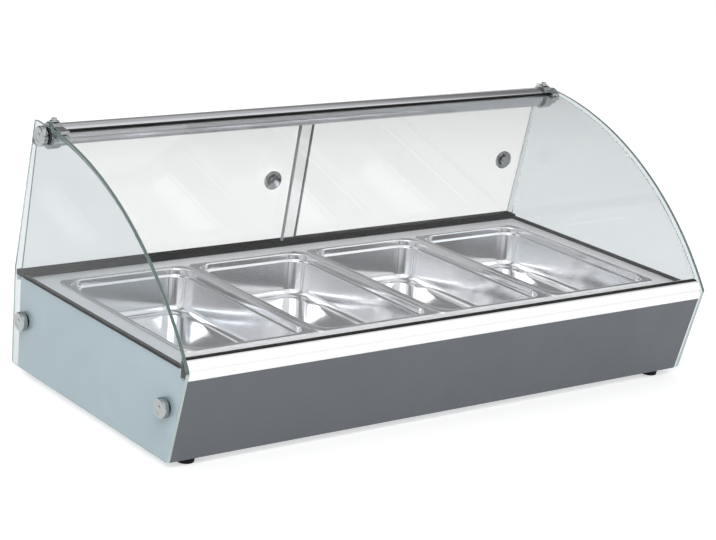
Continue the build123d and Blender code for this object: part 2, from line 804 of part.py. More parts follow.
def hinge_collar(low_x):
    """Collar that turns on the tube, with a lug whose slot grips the top of the front glass."""
    lug_front_y = 198.0
    lug_outer = front_glass_radius + 7
    lug_inner = front_glass_radius - front_glass_thick - 7
    slot_outer = front_glass_radius + 0.3
    slot_inner = front_glass_radius - front_glass_thick - 0.3
    with BuildPart() as collar:
        with BuildSketch(slice_yz(low_x)):
            with Locations((tube_y, tube_z)):
                Circle(collar_radius)
            with BuildLine():
                Line(curve_point(lug_inner, lug_front_y), curve_point(lug_outer, lug_front_y))
                ThreePointArc(
                    curve_point(lug_outer, lug_front_y),
                    curve_point(lug_outer, 220),
                    curve_point(lug_outer, tube_y),
                )
                Line(curve_point(lug_outer, tube_y), curve_point(lug_inner, tube_y))
                ThreePointArc(
                    curve_point(lug_inner, tube_y),
                    curve_point(lug_inner, 220),
                    curve_point(lug_inner, lug_front_y),
                )
            make_face()
            with BuildLine():
                slot_front_y = lug_front_y - 5
                slot_rear_y = front_glass_end_y + 0.5
                Line(curve_point(slot_inner, slot_front_y), curve_point(slot_outer, slot_front_y))
                ThreePointArc(
                    curve_point(slot_outer, slot_front_y),
                    curve_point(slot_outer, 208),
                    curve_point(slot_outer, slot_rear_y),
                )
                Line(curve_point(slot_outer, slot_rear_y), curve_point(slot_inner, slot_rear_y))
                ThreePointArc(
                    curve_point(slot_inner, slot_rear_y),
                    curve_point(slot_inner, 208),
                    curve_point(slot_inner, slot_front_y),
                )
            make_face(mode=Mode.SUBTRACT)
            with Locations((tube_y, tube_z)):
                Circle(tube_radius + running_gap, mode=Mode.SUBTRACT)
        extrude(amount=collar_thick)
        with Locations((low_x + collar_thick / 2, tube_y, tube_z + collar_radius)):
            Cylinder(3 + running_gap, 30, mode=Mode.SUBTRACT)
    return collar.part


collar_places = (
    ("left", -collar_outer_x),
    ("right", collar_outer_x - collar_thick),
)
for word, low_x in collar_places:
    piece = hinge_collar(low_x)
    piece.label = f"hinge_collar_{word}"
    export_step(piece, f"parts/hinge_collar_{word}.step")

# Screws on top of the collars, with a broad domed head
with BuildPart() as collar_screws:
    head_low = tube_z + collar_radius
    tip = tube_z + tube_radius + 0.5
    for word, low_x in collar_places:
        middle_x = low_x + collar_thick / 2
        with BuildSketch(Plane(origin=(middle_x, tube_y, tip))):
            Circle(3)
        extrude(amount=head_low - tip)
        with BuildSketch(Plane(origin=(middle_x, tube_y, head_low))):
            Circle(10.5)
        extrude(amount=2.5)
        with BuildSketch(Plane(origin=(middle_x, tube_y, head_low + 2.5))):
            Circle(6)
        extrude(amount=5.5)
    fillet(collar_screws.edges().filter_by(GeomType.CIRCLE).group_by(Axis.Z)[-1], radius=2)
collar_screws.part.label = "collar_screws"
export_step(collar_screws.part, "parts/collar_screws.step")

# Feet

foot_places = [(sx * foot_x, y) for sx in (-1, 1) for y in foot_rows]
with BuildPart() as feet:
    for x, y in foot_places:
        with BuildSketch(Plane(origin=(x, y, foot_height), z_dir=(0, 0, -1))):
            Circle(20)
        extrude(amount=foot_height, taper=8)
    fillet(feet.edges().filter_by(GeomType.CIRCLE).group_by(Axis.Z)[0], radius=1.5)
    with Locations(*[(x, y, foot_height / 2 + 2) for x, y in foot_places]):
        Cylinder(3 + running_gap, foot_height, mode=Mode.SUBTRACT)
    with Locations(*[(x, y, 2.5) for x, y in foot_places]):
        Cylinder(7, 5, mode=Mode.SUBTRACT)
feet.part.label = "feet"
export_step(feet.part, "parts/feet.step")

with BuildPart() as foot_screws:
    with Locations(*[(x, y, 14) for x, y in foot_places]):
        Cylinder(3, 22)
    with Locations(*[(x, y, 3.5) for x, y in foot_places]):
        Cylinder(6, 3)
    with Locations(*[(x, y, foot_height + sheet + 2.5) for x, y in foot_places]):
        Cylinder(6, 5)
foot_screws.part.label = "foot_screws"
export_step(foot_screws.part, "parts/foot_screws.step")

# Controls on the rear panel


def behind(x, z, y=rear_panel_y):
    """Plane that faces the server, with its origin on the rear at height z."""
    return Plane(origin=(x, y, z), x_dir=(-1, 0, 0), z_dir=(0, 1, 0))


# Dial: a knob with a skirt and a raised grip, on the shaft of the thermostat
with BuildPart() as thermostat_knob:
    with BuildSketch(behind(dial_x, control_z).offset(1)):
        Circle(21)
    extrude(amount=3)
    with BuildSketch(behind(dial_x, control_z).offset(4)):
        Circle(16)
    extrude(amount=6, taper=4)
    with BuildSketch(behind(dial_x, control_z).offset(10)):
        Rectangle(8, 28)
    extrude(amount=8, taper=5)
    with BuildSketch(behind(dial_x, control_z).offset(1)):
        Circle(3 + running_gap)
    extrude(amount=10, mode=Mode.SUBTRACT)
thermostat_knob.part.label = "thermostat_knob"
export_step(thermostat_knob.part, "parts/thermostat_knob.step")

with BuildPart() as thermostat_shaft:
    with BuildSketch(behind(dial_x, control_z).offset(-20)):
        Circle(3)
    extrude(amount=30.5)
thermostat_shaft.part.label = "thermostat_shaft"
export_step(thermostat_shaft.part, "parts/thermostat_shaft.step")

with BuildPart() as thermostat_body:
    with Locations((dial_x, rear_panel_y - sheet - 16, control_z)):
        Box(42, 32, 34)
    with BuildSketch(behind(dial_x, control_z).offset(-2)):
        Circle(5)
    extrude(amount=2.5)
    with BuildSketch(behind(dial_x, control_z).offset(-21)):
        Circle(3 + running_gap)
    extrude(amount=24, mode=Mode.SUBTRACT)
thermostat_body.part.label = "thermostat_body"
export_step(thermostat_body.part, "parts/thermostat_body.step")

# Sensing bulb in the well and the thin tube from it to the thermostat
with BuildPart() as thermostat_bulb:
    bulb_y = pan_y + liner_half_y - 6
    with Locations((-480, bulb_y, bulb_z)):
        Cylinder(3, 80, rotation=(0, 90, 0))
    with BuildLine() as thin_tube:
        FilletPolyline(
            (-519, bulb_y, bulb_z),
            (-540, bulb_y, bulb_z),
            (-540, 308, bulb_z),
            (-515, 308, bulb_z),
            (-515, 308, control_z - 17),
            radius=8,
        )
    with BuildSketch(Plane(origin=thin_tube.line @ 0, z_dir=thin_tube.line % 0)):
        Circle(1)
    sweep()
thermostat_bulb.part.label = "thermostat_bulb"
export_step(thermostat_bulb.part, "parts/thermostat_bulb.step")

# Rocker switch: housing with a pocket, and the rocker on its pins
rocker_tilt = 8.0
with BuildPart() as power_switch_housing:
    with BuildSketch(behind(switch_x, control_z)):
        Rectangle(24, 34)
    extrude(amount=2.5)
    with BuildSketch(behind(switch_x, control_z).offset(-24)):
        Rectangle(19.6, 29.6)
    extrude(amount=24)
    with BuildSketch(behind(switch_x, control_z).offset(-12)):
        Rectangle(15, 27.2)
    extrude(amount=20, mode=Mode.SUBTRACT)
    with Locations((switch_x, rear_panel_y - 3, control_z)):
        Cylinder(1 + running_gap, 17.4, rotation=(0, 90, 0), mode=Mode.SUBTRACT)
power_switch_housing.part.label = "power_switch_housing"
export_step(power_switch_housing.part, "parts/power_switch_housing.step")

with BuildPart() as power_rocker:
    pivot_y = rear_panel_y - 3
    tilt = radians(rocker_tilt)
    tilted = Plane(
        origin=(switch_x - 7, pivot_y, control_z),
        x_dir=(0, cos(tilt), -sin(tilt)),
        z_dir=(1, 0, 0),
    )
    with BuildSketch(tilted):
        with BuildLine():
            Polyline((-6, -8), (6.5, -12), (4.5, 0), (6.5, 12), (-6, 8), close=True)
        make_face()
    extrude(amount=14)
    with Locations((switch_x, pivot_y, control_z)):
        Cylinder(1, 17, rotation=(0, 90, 0))
power_rocker.part.label = "power_rocker"
export_step(power_rocker.part, "parts/power_rocker.step")

# Pilot lamp: body behind the panel with a bezel in front of it, and the lens in the bezel
bezel = 2.0
lens_radius = 5.6
with BuildPart() as pilot_lamp_body:
    with BuildSketch(behind(lamp_x, control_z).offset(-22)):
        Circle(6)
    extrude(amount=22)
    with BuildSketch(behind(lamp_x, control_z)):
        Circle(8.5)
    extrude(amount=bezel)
    with BuildSketch(behind(lamp_x, control_z).offset(0.5)):
        Circle(lens_radius + running_gap)
    extrude(amount=bezel, mode=Mode.SUBTRACT)
pilot_lamp_body.part.label = "pilot_lamp_body"
export_step(pilot_lamp_body.part, "parts/pilot_lamp_body.step")

with BuildPart() as pilot_lamp_lens:
    with BuildSketch(behind(lamp_x, control_z).offset(0.5)):
        Circle(lens_radius)
    extrude(amount=5.5)
    fillet(pilot_lamp_lens.edges().sort_by(Axis.Y)[-1], radius=3.5)
pilot_lamp_lens.part.label = "pilot_lamp_lens"
export_step(pilot_lamp_lens.part, "parts/pilot_lamp_lens.step")

# Inlet gland for the lead, its nut and the terminal block beside it
with BuildPart() as cable_gland:
    with BuildSketch(behind(gland_x, gland_z).offset(-14)):
        Circle(8)
    extrude(amount=14)
    with BuildSketch(behind(gland_x, gland_z)):
        RegularPolygon(12, 6)
    extrude(amount=6)
    with BuildSketch(behind(gland_x, gland_z).offset(6)):
        Circle(10.5)
    extrude(amount=12, taper=8)
    with BuildSketch(behind(gland_x, gland_z).offset(-14)):
        Circle(4.5)
    extrude(amount=34, mode=Mode.SUBTRACT)
cable_gland.part.label = "cable_gland"
export_step(cable_gland.part, "parts/cable_gland.step")

with BuildPart() as gland_nut:
    with BuildSketch(behind(gland_x, gland_z).offset(-sheet)):
        RegularPolygon(12, 6)
        Circle(8 + running_gap, mode=Mode.SUBTRACT)
    extrude(amount=-5)
gland_nut.part.label = "gland_nut"
export_step(gland_nut.part, "parts/gland_nut.step")

with BuildPart() as terminal_block:
    block_low = foot_height + sheet
    with Locations((gland_x + 70, 312, block_low + 9)):
        Box(60, 22, 18)
    with Locations((gland_x + 70, 312, block_low + 18)):
        with GridLocations(18, 0, 3, 1):
            Cylinder(3, 8, mode=Mode.SUBTRACT)
terminal_block.part.label = "terminal_block"
export_step(terminal_block.part, "parts/terminal_block.step")

# Screws of the rear panel
with BuildPart() as panel_screws:
    screw_places = end_screws + tray_screws
    with Locations(*[(x, rear_panel_y - 4, z) for x, z in screw_places]):
        Cylinder(screw_radius, 8, rotation=(90, 0, 0))
    with Locations(*[(x, rear_panel_y + 1.2, z) for x, z in screw_places]):
        Cylinder(4, 2.4, rotation=(90, 0, 0))
    fillet(panel_screws.edges().filter_by(GeomType.CIRCLE).group_by(Axis.Y)[-1], radius=1)
panel_screws.part.label = "panel_screws"
export_step(panel_screws.part, "parts/panel_screws.step")
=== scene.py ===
# %% [markdown]
# # A heated display case for a counter
# The case keeps food warm and shows it: a low steel casing holds a heated well with four pans,
# a curved glass faces the customer, two thick end glasses carry everything above the casing, and
# two glass doors slide at the back for the server.
# The construction is already modelled, so this lesson dresses it. Flat sheets and glasses keep
# their modelled mesh and get a finish. Round, drawn and polished pieces are worked out again as
# smooth surfaces, because a mirror finish shows every facet.

# %% Load the frame
from math import atan2, cos, degrees, hypot, pi, radians, sin, sqrt

import bpy
import bmesh
import numpy as np
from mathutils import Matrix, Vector


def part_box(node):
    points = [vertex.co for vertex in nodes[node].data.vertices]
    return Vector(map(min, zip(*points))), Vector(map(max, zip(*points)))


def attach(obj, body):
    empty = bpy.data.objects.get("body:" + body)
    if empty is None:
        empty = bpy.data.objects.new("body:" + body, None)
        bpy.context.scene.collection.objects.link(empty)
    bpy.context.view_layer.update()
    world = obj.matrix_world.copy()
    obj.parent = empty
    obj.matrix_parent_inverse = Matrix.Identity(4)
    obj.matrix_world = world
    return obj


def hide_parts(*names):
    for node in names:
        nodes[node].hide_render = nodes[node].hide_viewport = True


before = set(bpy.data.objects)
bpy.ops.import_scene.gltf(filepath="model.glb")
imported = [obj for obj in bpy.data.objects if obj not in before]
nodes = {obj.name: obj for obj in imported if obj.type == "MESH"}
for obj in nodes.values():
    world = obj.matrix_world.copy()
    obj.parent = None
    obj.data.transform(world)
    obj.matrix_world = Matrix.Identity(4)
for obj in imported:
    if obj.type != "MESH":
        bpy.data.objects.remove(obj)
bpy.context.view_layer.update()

# %% [markdown]
# The camera stands in front of the left end and looks slightly down. A camera in Blender looks
# along its own -Z, so its matrix is built from three directions: right, up and backwards. The
# photograph leans by a few degrees, which is a turn of right and up about the line of sight.

# %% Camera
image_width = 716
focal_pixels = 2081.0
camera_azimuth = radians(-37.77)
camera_elevation = radians(16.31)
camera_roll = radians(4.65)
camera_place = Vector((-2.822, -3.592, 1.589))


def camera_directions(azimuth, elevation, roll):
    """Right, up and backwards for a camera at this azimuth and elevation, turned by roll."""
    backwards = Vector((sin(azimuth) * cos(elevation), -cos(azimuth) * cos(elevation), sin(elevation)))
    level = Vector((cos(azimuth), sin(azimuth), 0))
    upright = backwards.cross(level)
    return level * cos(roll) + upright * sin(roll), upright * cos(roll) - level * sin(roll), backwards


camera_data = bpy.data.cameras.new("camera")
camera = bpy.data.objects.new("camera", camera_data)
bpy.context.scene.collection.objects.link(camera)
camera_data.sensor_width = 36.0
camera_data.lens = focal_pixels / image_width * camera_data.sensor_width
camera_data.clip_end = 100
for column, direction in enumerate(camera_directions(camera_azimuth, camera_elevation, camera_roll)):
    for row in range(3):
        camera.matrix_world[row][column] = direction[row]
camera.matrix_world.translation = camera_place
bpy.context.scene.camera = camera
print("lens", round(camera_data.lens, 1), "mm")

# %% [markdown]
# Materials are node trees. A short helper adds a node, sets its values and joins its inputs, so
# that each material reads as a list of what it is made of. Colours are noted as they look on a
# screen, from 0 to 255, and turned into the linear values that a renderer works in.

# %% Node helpers


def screen(red, green, blue):
    """Linear colour of a screen colour: each channel is raised to the power 2.2."""
    return tuple((channel / 255) ** 2.2 for channel in (red, green, blue)) + (1.0,)


def add(tree, kind, inputs=None, **settings):
    """A new node in the tree. An input is a socket to join or a value to set."""
    made = tree.nodes.new("ShaderNode" + kind)
    for name, value in settings.items():
        setattr(made, name, value)
    for name, value in (inputs or {}).items():
        if isinstance(value, bpy.types.NodeSocket):
            tree.links.new(value, made.inputs[name])
        else:
            made.inputs[name].default_value = value
    return made


def maths(tree, operation, first, second=0.0):
    """The result of a sum on two sockets or values."""
    return add(tree, "Math", {0: first, 1: second}, operation=operation).outputs[0]


def spread(tree, value, low=0.0, high=1.0, to_low=0.0, to_high=1.0):
    """The value carried from the range low to high into the range to_low to to_high."""
    return add(tree, "MapRange", {"Value": value, "From Min": low, "From Max": high,
                                  "To Min": to_low, "To Max": to_high}).outputs[0]


def ramp(tree, factor, stops):
    """A colour ramp on a factor, with stops of (place, grey) or (place, colour)."""
    made = add(tree, "ValToRGB", {"Fac": factor})
    elements = made.color_ramp.elements
    while len(elements) < len(stops):
        elements.new(0.5)
    for element, (place, value) in zip(elements, stops):
        element.position = place
        element.color = value if isinstance(value, tuple) else (value, value, value, 1)
    return made.outputs["Color"]


def blend(tree, factor, first, second):
    """The first colour where factor is 0 and the second where it is 1."""
    made = add(tree, "Mix", data_type="RGBA")
    for socket, value in (("Factor", factor), ("A", first), ("B", second)):
        target = [s for s in made.inputs if s.name == socket and s.enabled][0]
        if isinstance(value, bpy.types.NodeSocket):
            tree.links.new(value, target)
        else:
            target.default_value = value
    return [s for s in made.outputs if s.enabled][0]


def new_material(name, **constants):
    """An empty material with its node tree, a Principled shader and the output. Each constant
    names a socket of the shader, with _ for a space."""
    material = bpy.data.materials.new(name)
    material.use_nodes = True
    material.node_tree.nodes.clear()
    tree = material.node_tree
    sockets = {label.replace("_", " "): value for label, value in constants.items()}
    shader = add(tree, "BsdfPrincipled", sockets)
    output = add(tree, "OutputMaterial", {"Surface": shader.outputs["BSDF"]})
    return material, tree, shader, output


def join(tree, source, shader, name):
    """Join a socket to a named input of the shader."""
    tree.links.new(source, shader.inputs[name])


# %% [markdown]
# Four effects turn up in many finishes, so each is a node group: the fine lines that brushing
# leaves, the faint marks of hands and cloths, the pebbled skin of sprayed paint or moulded
# plastic, and dust that settles on what faces up. A group gives out only values, and the
# material decides what they change.

# %% Shared effects


def effect_group(name, inputs, outputs):
    """A node group with float or vector inputs and float outputs, and its two end nodes."""
    tree = bpy.data.node_groups.new(name, "ShaderNodeTree")
    for label, default in inputs.items():
        kind = "NodeSocketVector" if label == "Vector" else "NodeSocketFloat"
        socket = tree.interface.new_socket(label, in_out="INPUT", socket_type=kind)
        if label != "Vector":
            socket.default_value = default
    for label in outputs:
        tree.interface.new_socket(label, in_out="OUTPUT", socket_type="NodeSocketFloat")
    start = tree.nodes.new("NodeGroupInput")
    end = tree.nodes.new("NodeGroupOutput")
    return tree, start, end


def brushed_lines():
    """Lines along one axis: noise that is stretched a hundredfold along the grain."""
    inputs = {"Vector": None, "Fineness": 900.0}
    tree, start, end = effect_group("brushed_lines", inputs, ["Shade", "Height"])
    fine = add(tree, "TexNoise", {"Vector": start.outputs["Vector"], "Scale": start.outputs["Fineness"],
                                  "Detail": 3.0, "Roughness": 0.6})
    long = add(tree, "TexNoise", {"Vector": start.outputs["Vector"], "Scale": 60.0, "Detail": 2.0})
    both = maths(tree, "MULTIPLY", fine.outputs["Fac"], long.outputs["Fac"])
    tree.links.new(both, end.inputs["Shade"])
    tree.links.new(fine.outputs["Fac"], end.inputs["Height"])
    return tree


def hand_marks():
    """Soft blotches a few centimetres across, cut by finer streaks: two noises multiplied."""
    tree, start, end = effect_group("hand_marks", {"Vector": None, "Scale": 9.0}, ["Mask"])
    wide = add(tree, "TexNoise", {"Vector": start.outputs["Vector"], "Scale": start.outputs["Scale"],
                                  "Detail": 4.0, "Roughness": 0.55, "Distortion": 0.6})
    scale = maths(tree, "MULTIPLY", start.outputs["Scale"], 11.0)
    small = add(tree, "TexNoise", {"Vector": start.outputs["Vector"], "Scale": scale, "Detail": 2.0})
    shaped = spread(tree, wide.outputs["Fac"], 0.42, 0.7)
    tree.links.new(maths(tree, "MULTIPLY", shaped, small.outputs["Fac"]), end.inputs["Mask"])
    return tree


def pebbled_skin():
    """Rounded cells under a millimetre across, from the distance to scattered points."""
    tree, start, end = effect_group("pebbled_skin", {"Vector": None, "Scale": 900.0}, ["Height", "Shade"])
    cells = add(tree, "TexVoronoi", {"Vector": start.outputs["Vector"], "Scale": start.outputs["Scale"]},
                feature="SMOOTH_F1")
    cloud = add(tree, "TexNoise", {"Vector": start.outputs["Vector"], "Scale": 14.0, "Detail": 3.0})
    tree.links.new(cells.outputs["Distance"], end.inputs["Height"])
    tree.links.new(cloud.outputs["Fac"], end.inputs["Shade"])
    return tree


def settled_dust():
    """A mask that is strong on faces that point up, broken by noise."""
    tree, start, end = effect_group("settled_dust", {"Vector": None, "Amount": 0.3}, ["Mask"])
    geometry = add(tree, "NewGeometry")
    parts = add(tree, "SeparateXYZ", {0: geometry.outputs["Normal"]})
    upward = spread(tree, parts.outputs["Z"], 0.3, 1.0)
    noise = add(tree, "TexNoise", {"Vector": start.outputs["Vector"], "Scale": 35.0, "Detail": 5.0})
    broken = maths(tree, "MULTIPLY", upward, noise.outputs["Fac"])
    tree.links.new(maths(tree, "MULTIPLY", broken, start.outputs["Amount"]), end.inputs["Mask"])
    return tree


effects = {make.__name__: make() for make in (brushed_lines, hand_marks, pebbled_skin, settled_dust)}
print("effects", sorted(effects))


def use(tree, name, **inputs):
    """A shared effect placed in a material, with its own values."""
    made = tree.nodes.new("ShaderNodeGroup")
    made.node_tree = effects[name]
    for label, value in inputs.items():
        if isinstance(value, bpy.types.NodeSocket):
            tree.links.new(value, made.inputs[label])
        else:
            made.inputs[label].default_value = value
    return made.outputs


def place(tree, scale=(1, 1, 1)):
    """Object coordinates, stretched by scale, as the place a pattern is read at."""
    coordinates = add(tree, "TexCoord")
    mapping = add(tree, "Mapping", {"Vector": coordinates.outputs["Object"], "Scale": scale})
    return mapping.outputs["Vector"]


def bump(tree, height, strength, distance):
    """A normal that follows a height, for a relief of this depth in metres."""
    made = add(tree, "Bump", {"Height": height, "Strength": strength, "Distance": distance})
    return made.outputs["Normal"]


# %% [markdown]
# Stainless steel comes in two finishes here. The pans and the front rail are polished until they
# mirror the room, and only faint cleaning marks break the reflection. The deck, the well and the
# rear panel are brushed, which spreads the reflection across the lines of the brush. Both are a
# metal with a different roughness, so one function makes them.

# %% Steel


def shade(colour, share):
    """The colour at this share of its strength."""
    return tuple(channel * share for channel in colour[:3]) + (1.0,)


def steel(name, colour, low, high, grain, relief, uneven=0.05, metallic=1.0):
    """Metal whose roughness runs from low to high with the marks, and whose lines run along X.
    grain is the stretch of the pattern, small along the lines and large across them. uneven is
    how much darker the lines and the marks are. What metallic leaves is scattered light, as from
    steel that has been scoured many times."""
    material, tree, shader, output = new_material(name, Metallic=metallic)
    where = place(tree, grain)
    lines = use(tree, "brushed_lines", Vector=where)
    marks = use(tree, "hand_marks", Vector=place(tree), Scale=7.0)
    tint = ramp(tree, lines["Shade"], [(0.15, shade(colour, 1 - uneven)), (0.45, colour)])
    dull = blend(tree, marks["Mask"], tint, shade(colour, 1 - 1.5 * uneven))
    join(tree, dull, shader, "Base Color")
    join(tree, spread(tree, marks["Mask"], to_low=low, to_high=high), shader, "Roughness")
    join(tree, bump(tree, lines["Height"], relief, 0.0002), shader, "Normal")
    return material


polished_steel = steel("polished_steel", (0.84, 0.845, 0.86, 1), 0.09, 0.15, (0.05, 1, 1), 0.02, 0.03, 0.98)
deck_steel = steel("deck_steel", (0.90, 0.905, 0.92, 1), 0.34, 0.42, (0.02, 1, 1), 0.05, 0.03, 0.35)
rail_steel = steel("rail_steel", (0.93, 0.935, 0.94, 1), 0.22, 0.28, (0.02, 1, 1), 0.03, 0.02)
brushed_steel = steel("brushed_steel", (0.60, 0.61, 0.63, 1), 0.28, 0.36, (0.02, 1, 1), 0.12, 0.04)
tube_steel = steel("tube_steel", (0.53, 0.54, 0.56, 1), 0.22, 0.27, (0.02, 1, 1), 0.04, 0.03)
# The knob's chrome, at 0.30, and the chrome of the caps and collars, at 0.42, are darker than chrome is:
# painted shade for the dark surroundings that these small mirrors show.
knob_shaded_chrome = steel("knob_shaded_chrome", (0.30, 0.31, 0.32, 1), 0.08, 0.16, (1, 1, 1), 0.01, 0.03)
chrome = steel("chrome", (0.42, 0.44, 0.44, 1), 0.12, 0.2, (1, 1, 1), 0.01, 0.03)
zinc = steel("zinc", (0.60, 0.61, 0.57, 1), 0.3, 0.5, (1, 1, 1), 0.1)
anodised = steel("anodised", (0.50, 0.51, 0.54, 1), 0.24, 0.36, (0.03, 1, 1), 0.1)
heater_steel = steel("heater_steel", (0.26, 0.24, 0.22, 1), 0.4, 0.6, (1, 1, 1), 0.3)
copper = steel("copper", (0.72, 0.38, 0.25, 1), 0.25, 0.45, (1, 1, 1), 0.1)

# %% [markdown]
# The casing is sprayed: a dark grey front and pale ends. Sprayed paint has a slight pebbled skin,
# and it is a little darker and rougher where hands and cloths rub it.

# %% Paint and plastic


def coated(name, colour, roughness, pebble, relief, dust=0.0, sheen=0.5):
    """A non-metal with a pebbled skin, faint cloudiness, marks in its roughness and dust."""
    material, tree, shader, output = new_material(name, Specular_IOR_Level=sheen)
    where = place(tree)
    skin = use(tree, "pebbled_skin", Vector=where, Scale=pebble)
    marks = use(tree, "hand_marks", Vector=where, Scale=6.0)
    cloudy = ramp(tree, skin["Shade"], [(0.3, shade(colour, 0.96)), (0.7, colour)])
    worn = blend(tree, marks["Mask"], cloudy, shade(colour, 0.92))
    if dust:
        settled = use(tree, "settled_dust", Vector=where, Amount=dust)
        worn = blend(tree, settled["Mask"], worn, screen(190, 185, 176))
    join(tree, worn, shader, "Base Color")
    rough = spread(tree, marks["Mask"], to_low=roughness, to_high=roughness + 0.15)
    join(tree, rough, shader, "Roughness")
    join(tree, bump(tree, skin["Height"], relief, 0.0003), shader, "Normal")
    return material


grey_paint = coated("grey_paint", screen(103, 108, 114), 0.38, 700.0, 0.12)
pale_paint = coated("pale_paint", screen(236, 250, 255), 0.4, 700.0, 0.015)
black_plastic = coated("black_plastic", screen(24, 25, 27), 0.5, 1200.0, 0.25, dust=0.02, sheen=0.25)
track_black = coated("track_black", screen(20, 21, 23), 0.75, 1200.0, 0.2, sheen=0.0)
rubber = coated("rubber", screen(26, 26, 27), 0.7, 600.0, 0.4, dust=0.05, sheen=0.2)
phenolic = coated("phenolic", screen(66, 52, 44), 0.35, 800.0, 0.1)
wool = coated("wool", screen(205, 198, 170), 0.95, 260.0, 1.0, sheen=0.1)
white_print = coated("white_print", screen(232, 232, 228), 0.5, 1400.0, 0.02, sheen=0.3)
black_print = coated("black_print", screen(34, 34, 36), 0.5, 1400.0, 0.02, sheen=0.3)
red_plastic = coated("red_plastic", screen(176, 28, 22), 0.22, 900.0, 0.03)
amber_plastic = coated("amber_plastic", screen(226, 122, 30), 0.16, 900.0, 0.01)
clear_strip = coated("clear_strip", screen(150, 154, 156), 0.3, 900.0, 0.02)

# %% [markdown]
# The glass is clear, with a green tint that shows at the cut edges, where one looks through a
# hand's breadth of it. The faces and the edges have different normals, so a mask from the normal
# gives each its colour. A ground edge also scatters some light. Below the bend of the end glasses
# the edge looks on the bright floor, and that light is painted into it as a pale colour with more
# scatter. Lamps would be stopped by modelled glass, so rays from lamps meet a clear shader
# instead, as they would real glass.

# %% Glass


glass_index = 1.3
# The pale edge colour and the extra edge scatter below the bend are painted light from the bright floor.
edge_scatter, floor_light_scatter = 0.28, 0.5
painted_floor_light = screen(222, 236, 234)
cut_edge = (0.45, 0.62, 0.58, 1)
shadow_depth = 0.4


def glass(name, face, edge, edge_axis, edge_share, bend_height=0.0):
    """Clear glass with a tinted edge. edge_axis picks the part of the normal that is large on
    the faces, or small on them if edge_share is negative. Under bend_height the edge is painted
    pale, as light from the bright floor."""
    material, tree, shader, output = new_material(name, IOR=glass_index)
    geometry = add(tree, "NewGeometry")
    parts = add(tree, "SeparateXYZ", {0: geometry.outputs["True Normal"]})
    size = maths(tree, "ABSOLUTE", parts.outputs[edge_axis])
    on_edge = maths(tree, "LESS_THAN" if edge_share > 0 else "GREATER_THAN", size, abs(edge_share))
    marks = use(tree, "hand_marks", Vector=place(tree), Scale=5.0)
    smeared = blend(tree, marks["Mask"], face, shade(face, 0.985))
    level = add(tree, "SeparateXYZ", {0: place(tree)})
    # Below the bend the edge gets a pale colour and scatters more: painted light, for the bright floor that
    # it looks on.
    under_bend = maths(tree, "LESS_THAN", level.outputs["Z"], bend_height)
    edge_tint = blend(tree, under_bend, edge, painted_floor_light)
    join(tree, blend(tree, on_edge, smeared, edge_tint), shader, "Base Color")
    join(tree, spread(tree, on_edge, to_high=0.25), shader, "Roughness")
    on_floor_light = maths(tree, "MULTIPLY", under_bend, on_edge)
    scattered = maths(tree, "ADD", maths(tree, "MULTIPLY", on_edge, edge_scatter),
                      maths(tree, "MULTIPLY", on_floor_light, floor_light_scatter))
    join(tree, maths(tree, "SUBTRACT", 1.0, scattered), shader, "Transmission Weight")
    path = add(tree, "LightPath")
    clear = add(tree, "BsdfTransparent", {"Color": tuple(c**shadow_depth for c in face[:3]) + (1,)})
    lets_light = add(tree, "MixShader", {0: path.outputs["Is Shadow Ray"], 1: shader.outputs[0],
                                         2: clear.outputs[0]})
    tree.links.new(lets_light.outputs[0], output.inputs["Surface"])
    return material


end_glass = glass("end_glass", (0.70, 0.738, 0.755, 1), cut_edge, "X", 0.5, 0.222)
curved_glass = glass("curved_glass", (0.885, 0.888, 0.888, 1), cut_edge, "X", -0.5)
door_glass = glass("door_glass", (0.875, 0.88, 0.88, 1), cut_edge, "X", -0.5)

# %% [markdown]
# Each modelled node now gets its finish. What the table doesn't name is a mistake, so the cell
# stops if a node is left over.

# %% Finishes on the modelled nodes
finishes = {
    end_glass: "end_glass_left end_glass_right",
    curved_glass: "front_glass",
    door_glass: "door_left door_right",
    polished_steel: "pan_1 pan_2 pan_3 pan_4 pan_support_bar_1 pan_support_bar_2 pan_support_bar_3",
    rail_steel: "front_rail",
    deck_steel: "deck",
    brushed_steel: "well_liner base_tray element_brackets rear_panel",
    pale_paint: "end_panel_left end_panel_right",
    grey_paint: "front_panel",
    tube_steel: "top_tube",
    anodised: "top_door_track top_track_hanger tube_end_plugs",
    chrome: "glass_fixing_caps door_left_knob door_right_knob hinge_collar_left hinge_collar_right "
            "collar_screws",
    zinc: "glass_fixing_studs glass_fixing_nuts foot_screws panel_screws thermostat_shaft",
    track_black: "bottom_door_track",
    black_plastic: "thermostat_knob power_switch_housing pilot_lamp_body cable_gland gland_nut",
    rubber: "front_rail_gasket front_glass_top_seal deck_side_seal_left deck_side_seal_right feet "
            "glass_washers door_stops",
    clear_strip: "door_left_edge_strip door_right_edge_strip",
    red_plastic: "power_rocker",
    amber_plastic: "pilot_lamp_lens",
    heater_steel: "heating_element_left heating_element_right",
    copper: "thermostat_bulb",
    phenolic: "thermostat_body terminal_block",
    wool: "well_insulation",
}
finish_of = {name: material for material, names in finishes.items() for name in names.split()}
for name, node in nodes.items():
    node.data.materials.clear()
    node.data.materials.append(finish_of[name])
print("finished", len(finish_of), "nodes")

# %% [markdown]
# The surroundings are a studio: a white room, a pale floor that keeps the shadow, and soft lamps.
# The camera sees the room white. Mirrors see it bright on the customer's side and dim above the
# server's side, which gives the steel its contrast, and they don't see the lamps. What lights the
# surfaces is lower than white, so that a colour renders about as it is written.

# %% Stage and light
scene = bpy.context.scene
scene.view_settings.view_transform = "Standard"
world = bpy.data.worlds.new("studio")
scene.world = world
world.use_nodes = True
world.node_tree.nodes.clear()
room = world.node_tree
path = add(room, "LightPath")


def seen_rays(tree, path):
    """1 for what the camera sees straight, in a mirror or through glass, and 0 for lighting."""
    mirrored = maths(tree, "MAXIMUM", path.outputs["Is Glossy Ray"], path.outputs["Is Transmission Ray"])
    return maths(tree, "MAXIMUM", path.outputs["Is Camera Ray"], mirrored)


